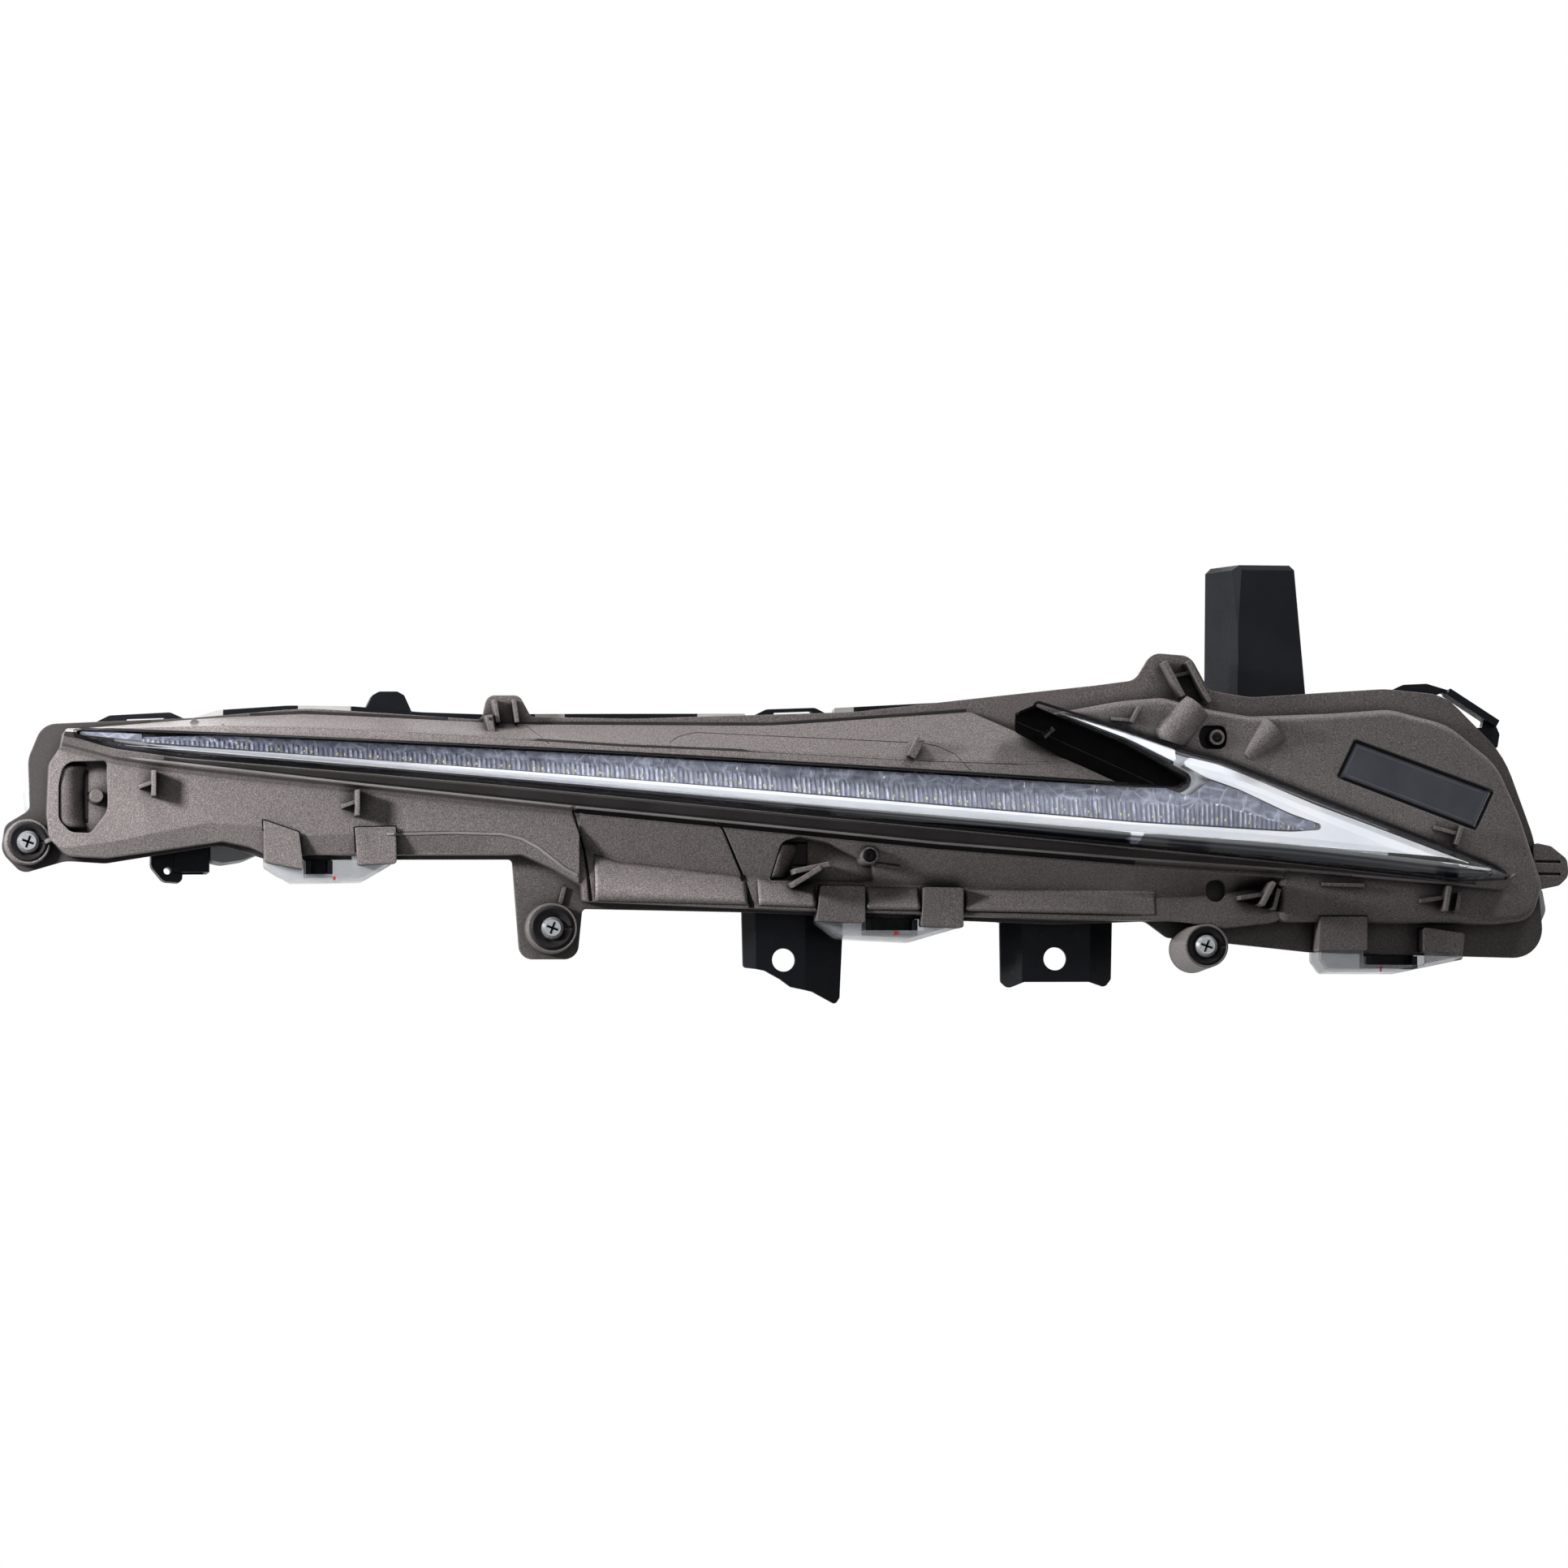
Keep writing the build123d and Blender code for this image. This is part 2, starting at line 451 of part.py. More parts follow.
# bright frame: plate behind the ledge with the raised V shaped band
optic_hole = prism(grown(OPTIC, -0.7))
plate = prism(grown(LENS, -0.6)) & band(BOARD_FRONT, PAD - WALL) & right_of(-288) & left_of(262)
apart = outline([(60, 130, 0), (167, 130, 0), (167, 84, 0), (150, 78, 0), (60, 84, 0)])
plate = solid_of(plate) - prism(apart)
raised = solid_of(set_back(massive_lens, LEDGE - PAD + WALL) & prism(outline(SILVER)) & lens_hole)
optic_room = prism(grown(OPTIC, GAP)) & band(PAD - WALL, 60)
frame = solid_of(solid_of(plate).fuse(raised).cut(optic_hole, optic_room, cover))
export_step(frame, "parts/bright_frame.step")
optic = solid_of(set_back(massive_lens, 4.2) & prism(outline(OPTIC)) & band(PAD - WALL, 60))
export_step(optic, "parts/fluted_optic.step")

# board with its row of light sources on a finned rail
MID = [(-260, 92.6), (-213, 89.4), (-72, 80.0), (17.7, 74.0), (149, 65.0), (215, 59.2)]
board_line = grown(OPTIC, -0.4)
board = solid_of(prism(board_line) & band(BOARD_FRONT - BOARD_T, BOARD_FRONT))
export_step(board, "parts/led_board.step")
leds = []
for i in range(int(450 / LED_PITCH) + 1):
    x = -236 + i * LED_PITCH
    z = along(MID, x)
    leds.append(block(x - 1.1, x + 1.1, z - 0.5, z + 0.5, BOARD_FRONT, BOARD_FRONT + 0.9))
leds = Compound(leds)
export_step(leds, "parts/led_chips.step")
rail_front = BOARD_FRONT - BOARD_T
FLOOR = -HOUSING_DEPTH + WALL
rail = prism(grown(OPTIC, -0.8)) & band(rail_front - RAIL_T, rail_front)
web_line = [(x, along(MID, x) + 1.4, 0) for x in (-250, -150, -72, 17, 100, 149, 212)]
web_line += [(x, along(MID, x) - 1.4, 0) for x in (212, 149, 100, 17, -72, -150, -250)]
web = prism(outline(web_line)) & band(FLOOR, rail_front)
fins = []
for i in range(int(460 / FIN_PITCH)):
    x = -246 + i * FIN_PITCH
    fins.append(block(x - 0.8, x + 0.8, along(MID, x) - 5.6, along(MID, x) + 5.6, -12, rail_front - 0.6))
sink = solid_of(solid_of(rail).fuse(solid_of(web), *fins))
sink = solid_of(sink & band(FLOOR, rail_front))
export_step(sink, "parts/heat_sink.step")

# ---- trough and dark window ----
TROUGH_FLOOR = 1.8
TROUGH_RIM = 27.0
trough = prism(grown(TROUGH, -GAP)) & band(PAD, TROUGH_RIM)
open_side = prism(grown(TROUGH, GAP)).moved(Location((-0.9, 0, -2.0))) & band(PAD + TROUGH_FLOOR, 60)
shade = solid_of(trough.cut(open_side, prism(grown(LENS, SEAL + 0.1))))
shade = shade + rib(109.0, 97.4, 6.5, 2.6, 42, PAD + 1.0, PAD + 4.4)
shade = solid_of(shade)
export_step(shade, "parts/arm_shade.step")

sill = PAD - WINDOW_BED
glass = prism(grown(WINDOW, -0.1)) & band(sill - WINDOW_T, sill)
raised_middle = prism(grown(WINDOW, -1.9)) & band(sill - WINDOW_T, sill + 0.4)
glass = solid_of(solid_of(glass) + solid_of(raised_middle))
export_step(glass, "parts/dark_window.step")


# ---- housing behind the cover ----
HOUSE = [(-314, 99.5, 6), (-281, 99.8, 30), (-249, 101.2, 40), (-206, 105.2, 60), (-111, 101.2, 100),
         (-65.7, 100.8, 60), (28.7, 104.0, 60), (81.6, 110.0, 60), (134.2, 116.0, 30), (152.0, 118.0, 10),
         (184.6, 114.0, 8), (203.0, 111.6, 20), (263, 115.4, 30), (289.0, 112.4, 16), (313.0, 89.0, 30),
         (325.8, 52, 30), (329.0, 12, 9), (322, 7.0, 6), (230.5, 8.0, 60), (196, 12.4, 10), (160, 22.0, 5),
         (117, 19.4, 60), (-19.6, 24.2, 60), (-84.0, 26.6, 3), (-90.0, 42.0, 4), (-117.6, 46.6, 6),
         (-221.7, 46.6, 10), (-241.4, 53.0, 10), (-290.9, 46.0, 10), (-307.9, 47.2, 10), (-318.5, 56, 8),
         (-319.5, 84, 10)]
envelope = prism(outline(HOUSE)) & band(-HOUSING_DEPTH, 0)
cavity = prism(grown(HOUSE, -WALL)) & band(FLOOR, 1)
house = solid_of(envelope) - solid_of(cavity)
lug_plates = [
    bar([(-116.4, 50, 0), (-113.2, 1.0, 5), (-90.6, 1.0, 5), (-88.5, 40, 0)], -6, 0),
    bar([(-332.8, 56, 5), (-334.4, 47, 7), (-326.4, 39.0, 5), (-310, 47, 0), (-314, 60, 0)], -6, 0),
    bar([(163, 24, 0), (167, 11.4, 4), (190.6, 9.2, 4), (196, 16, 0)], -6, 0),
]
for x, z, height, radius in BOSSES:
    lug_plates.append(peg(x, z, -18, 3, 6.4, 7.4) & band(-24, 0))

# snap loops along the top edge: outer outline, opening
LOOPS = [
    ([(-298.0, 97.5, 1), (-296.6, 102.4, 2), (-289.4, 106.0, 4), (-263.4, 107.2, 4), (-255.6, 103.6, 2),
      (-255, 99, 1)], [(-282.4, 102.6, 0.6), (-281.6, 104.6, 0.6), (-266, 105.0, 0.6), (-265, 103.2, 0.6)]),
    ([(-16.0, 100, 1), (-15.2, 104.6, 2), (-8.0, 108.2, 4), (13.1, 109.0, 4), (20.1, 105.4, 2),
      (20.8, 102, 1)],
     [(-5.0, 106.0, 0.6), (-4.4, 107.0, 0.6), (11.4, 107.6, 0.6), (11.8, 106.4, 0.6)]),
    ([(262.0, 113, 1), (266.0, 118.6, 3), (272.4, 121.6, 3), (283.0, 122.2, 4), (292.4, 119.6, 4),
      (313.4, 106.4, 3), (316.0, 100.6, 2), (315.0, 94.6, 1), (306, 94, 1)],
     [(285.6, 116.6, 1), (290.2, 118.4, 1), (308.6, 106.4, 1), (308.0, 103.4, 1), (303.0, 103.0, 1)]),
]
loop_low, loop_high = -9.0, -3.0
loops = []
for outer, opening in LOOPS:
    loops.append(solid_of((prism(outline(outer)) - prism(outline(opening))) & band(loop_low, loop_high)))
lip = [(292.4, 120.0, 0.4), (291.0, 117.2, 0.4), (313.2, 103.4, 0.4), (314.8, 106.2, 0.4)]
loops.append(bar(lip, -9, 3))

# catches behind the three snap trays: x from, x to, lower edge, flange edge above
CATCHES = [(-206.0, -194.6, 34.8, 42.2), (33.6, 56.0, 10.2, 17.0), (253.0, 276.0, -2.6, 2.6)]
for x0, x1, low_edge, flange_edge in CATCHES:
    loops.append(block(x0, x1, low_edge, flange_edge + 10, -7.5, -0.2))
    loops.append(block(x0, x0 + 2.2, low_edge, flange_edge, -0.3, 8.5))
    loops.append(block(x1 - 2.2, x1, low_edge, flange_edge, -0.3, 8.5))
    loops.append(block(x0, x1, low_edge, low_edge + 1.8, -0.3, 7.5))
house = solid_of(house.fuse(*lug_plates, *loops))
THREAD = 0.05
NECK = (-257.0, -250.0)  # wires of the inlet pass the bottom wall here
VENT = (250.0, 40.0, 5.0)
cuts = [block(NECK[0] - GAP, NECK[1] + GAP, 40, 60, -28 - GAP, -18 + GAP),
        peg(VENT[0], VENT[1], -HOUSING_DEPTH - 2, FLOOR + 2, VENT[2] + GAP, VENT[2] + GAP)]
for x, z, height, radius in BOSSES:
    cuts.append(peg(x, z, -16, 1, SCREW_D / 2 + THREAD, SCREW_D / 2 + THREAD))


# ---- lower brackets ----
def plan(points, z0, z1):
    """Upright form from a closed plan of (x, y) points."""
    face = Face(Wire.make_polygon([Vector(x, y, z0) for x, y in points], close=True))
    return Solid.extrude(face, Vector(0, 0, z1 - z0))


def upright(x, y, z0, z1, radius):
    return Solid.make_cylinder(radius, z1 - z0, Plane(Vector(x, y, z0), z_dir=(0, 0, 1)))


def bracket(front, sheet, cap, centre_x):
    """Folded bracket: channel below, cap screwed under the housing."""
    y = seat_y(centre_x) + BRACKET_SETBACK
    t = BRACKET_T / 2
    near = [(x, y - t + fold) for x, fold in sheet]
    far = [(x, y + t + fold) for x, fold in reversed(sheet)]
    web = plan(near + far, -30, 30) & prism(outline(front))
    corners = [(cap[0], cap[2], 1), (cap[1], cap[2], 1), (cap[1], 40, 0), (cap[0], 40, 0)]
    top = prism(outline(corners), y - t, y + 20)
    raw = solid_of(solid_of(web) + top).cut(solid_of(envelope))
    raw = solid_of(raw & Solid.make_box(200, 60, cap[3] + 40).moved(Location((cap[0] - 60, y - 20, -40))))
    hole = Solid.make_cylinder(HOLE_D / 2, 20, Plane(Vector(centre_x, y - 10, 0), z_dir=(0, 1, 0)))
    return raw - hole.moved(Location((0, 0, 1.0 if centre_x > 50 else 0)))


LEFT_FRONT = [(-17.4, 30, 0), (-16.7, -3.0, 1.5), (-8.3, -4.6, 1.5), (-1.7, -8.2, 2), (3.0, -11.6, 2),
              (12.7, -13.6, 3), (23.4, -18.8, 1.5), (25.4, -16.0, 1.5), (27.6, 30, 0)]
RIGHT_FRONT = [(94.9, 30, 0), (95.4, -8.8, 2.5), (98.2, -11.8, 2.5), (104.6, -9.1, 2), (133.0, -8.9, 2),
               (140.8, -11.0, 2.5), (143.8, -7.5, 2.5), (144.7, 30, 0)]
LEFT_SHEET = [(-17.6, 9), (-12.2, 0), (9.5, 0), (27.8, 9)]
RIGHT_SHEET = [(94.6, 9), (103.6, 0), (133.4, 0), (144.9, 9)]
left_bracket = bracket(LEFT_FRONT, LEFT_SHEET, (-15.5, 22.5, 20.4, 26), 0.0)
right_bracket = bracket(RIGHT_FRONT, RIGHT_SHEET, (95.0, 139.5, 17.4, 24), 118.0)

bracket_screws = []
for x, floor_z in ((-8.0, 20.4), (14.0, 20.4), (103.0, 17.4), (131.0, 17.4)):
    y = seat_y(x) + 19.0
    shank = upright(x, y, floor_z - 0.05, floor_z + 8, 1.9)
    bracket_screws.append(upright(x, y, floor_z - 2.4, floor_z, 3.6) + shank)
    slot = Solid.make_box(4.2, 0.9, 1.2).moved(Location((x - 2.1, y - 0.45, floor_z - 2.5)))
    slot = slot + Solid.make_box(0.9, 4.2, 1.2).moved(Location((x - 0.45, y - 2.1, floor_z - 2.5)))
    bracket_screws[-1] = bracket_screws[-1] - slot
    left_bracket = left_bracket - upright(x, y, floor_z - 1, floor_z + 8, 1.95)
    right_bracket = right_bracket - upright(x, y, floor_z - 1, floor_z + 8, 1.95)
    cuts.append(upright(x, y, floor_z - 1, floor_z + 9, 1.95))
house = solid_of(house.cut(*cuts))
export_step(house, "parts/rear_housing.step")
export_step(solid_of(left_bracket), "parts/lower_bracket_left.step")
export_step(solid_of(right_bracket), "parts/lower_bracket_right.step")
export_step(Compound([solid_of(s) for s in bracket_screws]), "parts/bracket_screws.step")


# ---- post, stop, rim strip with its pads ----
POST_TOP = 173.0
base_y = seat_y(205) + 2.0
foot = [(188.0, base_y + 28), (198.2, base_y), (228.9, base_y), (228.1, base_y + 28)]
shoulder = [(188.4, base_y + 26), (198.6, base_y + 1.4), (223.5, base_y + 1.4), (223.0, base_y + 26)]
crown = [(190.4, base_y + 24), (199.4, base_y + 3.4), (221.6, base_y + 3.4), (221.2, base_y + 24)]
post = Solid.make_loft([
    Wire.make_polygon([Vector(x, y, z) for x, y in ring], close=True)
    for ring, z in ((foot, 106), (shoulder, POST_TOP - 2.2), (crown, POST_TOP))
], ruled=True)
wedge = Wire.make_polygon([
    Vector(195.0, base_y + 8.5, POST_TOP + 2), Vector(202.4, base_y - 1, POST_TOP + 2),
    Vector(194.0, base_y - 3, POST_TOP + 2)], close=True)
point = Wire.make_polygon([Vector(197.9, base_y + 0.9, 137), Vector(198.3, base_y + 0.1, 137),
                           Vector(197.5, base_y - 0.2, 137)], close=True)
post = post - Solid.make_loft([point, wedge], ruled=True)
inner = [(191.6, base_y + 30), (200.2, base_y + 3.8), (219.8, base_y + 4.2), (219.6, base_y + 30)]
post = solid_of(post).cut(plan(inner, 112, POST_TOP - 4.5), solid_of(envelope))
post = solid_of(post)
export_step(post, "parts/top_post.step")

STRIP_LINES = [
    [(-254.4, 98, 0), (-254.4, 104.4, 1), (-242.6, 107.9, 10), (-212.8, 109.7, 40), (-185, 109.2, 60),
     (-156, 106.6, 60), (-131, 105.7, 30), (-107.4, 105.8, 30), (-17.4, 106.1, 0.6), (-17.4, 98, 0)],
    [(21.1, 98, 0), (21.1, 108.7, 0.6), (74.7, 111.8, 60), (84.2, 113.4, 0.6), (84.2, 104, 0)],
]
strip = []
for points in STRIP_LINES:
    strip += (bar(points, -8, -0.1) - solid_of(envelope)).solids()
pads = []
for x0, x1 in ((-254.4, -241.0), (-209.0, -161.0), (-107.7, -95.0), (-38.0, -17.4), (21.1, 29.5)):
    room = block(x0, x1, 90, 125, -9, 1)
    for run in strip:
        piece = run & room
        if piece:
            pads += piece.solids()
    strip = [q for run in strip for q in (run - room).solids()]
export_step(Compound(strip), "parts/rim_strip.step")
export_step(Compound(pads), "parts/rim_pads.step")

stop = bar([(-179.6, 100, 0), (-179.4, 108.9, 1), (-176.6, 114.6, 1.5), (-173.7, 116.2, 1.5),
            (-166.0, 116.2, 1.5), (-163.0, 114.6, 1.5), (-159.6, 107, 1), (-159.4, 100, 0)], -20, -8.2)
export_step(solid_of(stop - solid_of(envelope)), "parts/top_stop.step")


# ---- clear snap trays below the three pairs of tabs ----
TRAY_WALL = 1.6
TRAYS = [
    ("snap_tray_left", [(-223.4, 50, 0), (-223.0, 39.8, 2), (-212.5, 32.8, 5), (-181.5, 33.2, 5),
                        (-169.6, 40.2, 2), (-169.2, 50, 0)], -9.6, 10.6, (-207.6, -186.6)),
    ("snap_tray_middle", [(12.4, 28, 0), (12.6, 15.6, 1), (21.8, 8.8, 5), (53.3, 7.4, 8), (74.4, 13.6, 2),
                          (74.8, 28, 0)], -5.2, 10.6, (31.6, 58.6)),
    ("snap_tray_right", [(230.8, 12, 0), (231.0, 0.6, 1.5), (234.8, -4.8, 3), (268.0, -4.6, 6),
                         (295.6, 1.2, 1.5), (295.8, 12, 0)], -9.6, 12.6, (251.0, 278.6)),
]
for name, points, low, high, (x0, x1) in TRAYS:
    tall = prism(grown(points, -TRAY_WALL)) & band(low + TRAY_WALL, high - TRAY_WALL)
    open_top = tall.moved(Location((0, 0, 6)))
    front_gap = block(x0, x1, points[2][1] + 3.4, 60, low + TRAY_WALL, high + 1)
    tray = bar(points, low, high).cut(solid_of(tall), solid_of(open_top), front_gap)
    tray = solid_of(tray).cut(cover, house, solid_of(envelope))
    tray = solid_of(tray)
    export_step(tray, "parts/" + name + ".step")


# ---- cover screws ----
screws = []
for x, z, height, radius in BOSSES:
    seat = height - SCREW_SEAT
    middle = seat + SCREW_HEAD_H / 2
    head = peg(x, z, seat, middle, SCREW_HEAD_D / 2, SCREW_HEAD_D / 2)
    head = head + peg(x, z, middle, seat + SCREW_HEAD_H, SCREW_HEAD_D / 2, SCREW_HEAD_D / 2 - 1.3)
    shank = peg(x, z, -13, seat + 0.1, SCREW_D / 2, SCREW_D / 2)
    top = seat_y(x) - seat - SCREW_HEAD_H
    cross = Solid.make_box(5.6, 4.0, 1.2).moved(Location((x - 2.8, top - 2.0, z - 0.6)))
    cross = cross + Solid.make_box(1.2, 4.0, 5.6).moved(Location((x - 0.6, top - 2.0, z - 2.8)))
    screws.append(solid_of(head + shank - cross.rotate(Axis((x, 0, z), (0, 1, 0)), 20)))
export_step(Compound(screws), "parts/cover_screws.step")


# ---- back: lid, driver, vent cap, inlet ----
LID_T = 2.5
BUMPS = [
    [(-308, 88, 0), (-320.4, 86, 6), (-325.0, 76, 10), (-323.8, 65, 10), (-317, 57, 6), (-308, 57, 0)],
    [(-245.4, 62, 0), (-245.4, 43.4, 2), (-240.0, 42.2, 6), (-231.0, 43.6, 12), (-221.0, 48.0, 4),
     (-221, 62, 0)],
    [(322, 36, 0), (336.4, 34, 3), (338.2, 24, 6), (334.0, 14.6, 7), (322, 9, 0)],
]
lid = solid_of(prism(grown(HOUSE, -1.0)) & band(-HOUSING_DEPTH - LID_T, -HOUSING_DEPTH))
bumps = [bar(points, -HOUSING_DEPTH - LID_T, -10) - solid_of(envelope) for points in BUMPS]
lid = lid.fuse(*[q for b in bumps for q in b.solids()])
lid = solid_of(lid - peg(VENT[0], VENT[1], -60, -20, VENT[2] + GAP, VENT[2] + GAP))
export_step(lid, "parts/back_lid.step")

BACK = -HOUSING_DEPTH - LID_T
vent_head = peg(VENT[0], VENT[1], BACK - 5, BACK + 2, 8.5, 9.5) & band(BACK - 8, BACK)
vent = solid_of(vent_head) + peg(VENT[0], VENT[1], FLOOR, BACK - 0.5, VENT[2], VENT[2])
export_step(solid_of(vent), "parts/vent_cap.step")
driver = block(-70, 36, 56, 88, BACK - 14, BACK)
for i in range(9):
    driver = driver - block(-64 + i * 11.6, -58 + i * 11.6, 50, 95, BACK - 15, BACK - 8)
export_step(solid_of(driver), "parts/driver_module.step")

inlet = block(-261.0, -245.8, 38.4, 52, -34, -12) - solid_of(envelope)
inlet = inlet - block(-259.4, -247.4, 36, 44.4, -32.4, -13.6)
inlet = solid_of(solid_of(inlet) + block(NECK[0], NECK[1], 44.6, 58, -28, -18))
export_step(inlet, "parts/main_inlet.step")
pins = Compound([block(-257.6 + i * 2.6, -256.4 + i * 2.6, 39.6, 44.4, -23.6, -22.2) for i in range(4)])
export_step(pins, "parts/inlet_pins.step")
hook = bar([(-270.6, 54, 0), (-270.8, 41, 4), (-265.4, 34.4, 4), (-257.6, 33.8, 2), (-257.2, 38.2, 1),
            (-261.2, 38.2, 0.6), (-261.2, 54, 0)], -24, -12)
hook = hook - solid_of(envelope) - peg(-263.8, 39.0, -30, -5, 1.6, 1.6)
export_step(solid_of(hook), "parts/inlet_clip.step")
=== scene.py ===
import bpy
import math
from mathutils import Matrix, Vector
from mathutils.bvhtree import BVHTree


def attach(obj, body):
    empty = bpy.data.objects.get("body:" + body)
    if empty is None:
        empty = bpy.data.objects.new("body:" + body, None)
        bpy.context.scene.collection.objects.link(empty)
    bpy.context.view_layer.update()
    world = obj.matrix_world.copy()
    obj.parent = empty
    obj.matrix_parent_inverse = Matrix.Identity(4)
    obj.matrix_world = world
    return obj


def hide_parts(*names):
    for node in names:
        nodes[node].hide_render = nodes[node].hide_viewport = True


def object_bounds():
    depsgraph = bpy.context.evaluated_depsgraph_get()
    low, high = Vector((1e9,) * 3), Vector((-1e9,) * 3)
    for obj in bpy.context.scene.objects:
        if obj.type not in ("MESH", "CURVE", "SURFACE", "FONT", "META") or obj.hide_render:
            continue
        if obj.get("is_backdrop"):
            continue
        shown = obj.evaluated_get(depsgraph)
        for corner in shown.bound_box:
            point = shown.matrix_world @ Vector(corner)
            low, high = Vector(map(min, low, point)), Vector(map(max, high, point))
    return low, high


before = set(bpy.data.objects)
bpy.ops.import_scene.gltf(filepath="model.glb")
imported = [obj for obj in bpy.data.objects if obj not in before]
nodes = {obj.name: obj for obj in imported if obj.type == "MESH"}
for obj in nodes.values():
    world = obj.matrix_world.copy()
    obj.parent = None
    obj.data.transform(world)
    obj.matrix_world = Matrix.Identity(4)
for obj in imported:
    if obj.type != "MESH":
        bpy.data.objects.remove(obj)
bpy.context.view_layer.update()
scene = bpy.context.scene
scene.view_settings.view_transform = "Standard"

# Everything is in metres, apart from outlines that a call multiplies by MM.
MM = 0.001

# plan curve of the lamp: its radius, where it comes nearest to the viewer, and how far back the seat lies
BOW, BOW_APEX = 1.8, 0.109
BOW_AT_ZERO = BOW - math.sqrt(BOW ** 2 - BOW_APEX ** 2)
SEAT_BACK = 0.008

# width of one flute of the light guide, and thickness of what is laid on a surface
FLUTE = 0.0021
SKIN = 0.0001


# Helpers for node trees
class Tree:
    """Node tree of one material, with short calls for what is used here."""

    def __init__(self, name):
        self.mat = bpy.data.materials.new(name)
        self.mat.use_nodes = True
        self.nt = self.mat.node_tree
        self.nt.nodes.clear()
        self.out = self.nt.nodes.new("ShaderNodeOutputMaterial")
        self.coord = self.nt.nodes.new("ShaderNodeTexCoord").outputs["Object"]

    def node(self, kind, **values):
        n = self.nt.nodes.new(kind)
        for key, value in values.items():
            setattr(n, key, value)
        return n

    def link(self, a, b):
        self.nt.links.new(a, b)

    def fill(self, socket, value):
        """Sets a socket to a number or a colour, or links it to another node."""
        if isinstance(value, tuple):
            socket.default_value = (*value, 1)
        elif isinstance(value, (int, float)):
            socket.default_value = value
        else:
            self.link(value, socket)

    def noise(self, scale, detail=2.0, stretch=(1, 1, 1)):
        m = self.node("ShaderNodeMapping")
        m.inputs["Scale"].default_value = stretch
        self.link(self.coord, m.inputs["Vector"])
        n = self.node("ShaderNodeTexNoise")
        n.inputs["Scale"].default_value = scale
        n.inputs["Detail"].default_value = detail
        self.link(m.outputs["Vector"], n.inputs["Vector"])
        return n.outputs["Fac"]

    def ramp(self, value, stops):
        r = self.node("ShaderNodeValToRGB")
        marks = r.color_ramp.elements
        while len(marks) < len(stops):
            marks.new(0.5)
        for mark, (place, colour) in zip(marks, stops):
            mark.position = place
            mark.color = (*colour, 1)
        self.link(value, r.inputs["Fac"])
        return r.outputs["Color"]

    def remap(self, value, low, high, to_low, to_high, smooth=False):
        m = self.node("ShaderNodeMapRange")
        m.interpolation_type = "SMOOTHSTEP" if smooth else "LINEAR"
        sockets = ("From Min", "From Max", "To Min", "To Max")
        for socket, number in zip(sockets, (low, high, to_low, to_high)):
            m.inputs[socket].default_value = number
        self.link(value, m.inputs["Value"])
        return m.outputs["Result"]

    def fade(self, value, low, high, to_low=0, to_high=1):
        return self.remap(value, low, high, to_low, to_high, smooth=True)

    def spread(self, scale, detail, to_low, to_high, stretch=(1, 1, 1)):
        """Noise whose usual range, 0.3 to 0.7, runs from to_low to to_high."""
        return self.remap(self.noise(scale, detail, stretch), 0.3, 0.7, to_low, to_high)

    def math(self, operation, a, b=0.0):
        m = self.node("ShaderNodeMath", operation=operation)
        for socket, value in zip(m.inputs, (a, b)):
            self.fill(socket, value)
        return m.outputs[0]

    def mix(self, factor, a, b):
        m = self.node("ShaderNodeMix", data_type="RGBA")
        for socket, value in ((m.inputs[0], factor), (m.inputs[6], a), (m.inputs[7], b)):
            self.fill(socket, value)
        return m.outputs[2]

    def share(self):
        """Height within a piece made here, 0 at its foot and 1 at its top."""
        return self.node("ShaderNodeAttribute", attribute_name="share").outputs["Fac"]

    def place(self):
        s = self.node("ShaderNodeSeparateXYZ")
        self.link(self.coord, s.inputs[0])
        return s.outputs

    def soft_edges(self, radius):
        """Normals that round the sharp edges of the CAD pieces a little."""
        b = self.node("ShaderNodeBevel", samples=4)
        b.inputs["Radius"].default_value = radius
        return b.outputs[0]

    def edges(self, radius):
        """1 on edges, where paint wears and light catches."""
        g = self.node("ShaderNodeNewGeometry")
        d = self.node("ShaderNodeVectorMath", operation="DOT_PRODUCT")
        self.link(self.soft_edges(radius), d.inputs[0])
        self.link(g.outputs["Normal"], d.inputs[1])
        return self.fade(d.outputs["Value"], 0.97, 0.82)

    def crease_shade(self, reach):
        """0 deep in a crease and beside walls, 1 on open faces: the mask for painted shade."""
        a = self.node("ShaderNodeAmbientOcclusion", samples=8)
        a.inputs["Distance"].default_value = reach
        return self.fade(a.outputs["AO"], 0.30, 0.95)

    def low_on_the_seat(self):
        """1 on the flange just above the seat surface, less in the middle of the top edge."""
        x, y, z = self.place()
        off = self.math("SUBTRACT", x, BOW_APEX)
        root = self.math("SQRT", self.math("SUBTRACT", BOW ** 2, self.math("MULTIPLY", off, off)))
        seat = self.math("SUBTRACT", BOW - BOW_AT_ZERO - SEAT_BACK, root)
        low = self.fade(self.math("SUBTRACT", seat, y), 0.0048, 0.0028)
        from_middle = self.math("ABSOLUTE", self.math("SUBTRACT", x, 0.04))
        ends = self.fade(from_middle, 0.20, 0.36, 0.10, 0.9)
        below = self.fade(z, 0.06, 0.02, 0, 0.45)
        return self.math("MULTIPLY", low, self.math("MAXIMUM", ends, below))

    def bump(self, height, distance, strength=1.0, under=None):
        b = self.node("ShaderNodeBump")
        if under is not None:
            self.link(under, b.inputs["Normal"])
        b.inputs["Distance"].default_value = distance
        b.inputs["Strength"].default_value = strength
        self.link(height, b.inputs["Height"])
        return b.outputs["Normal"]

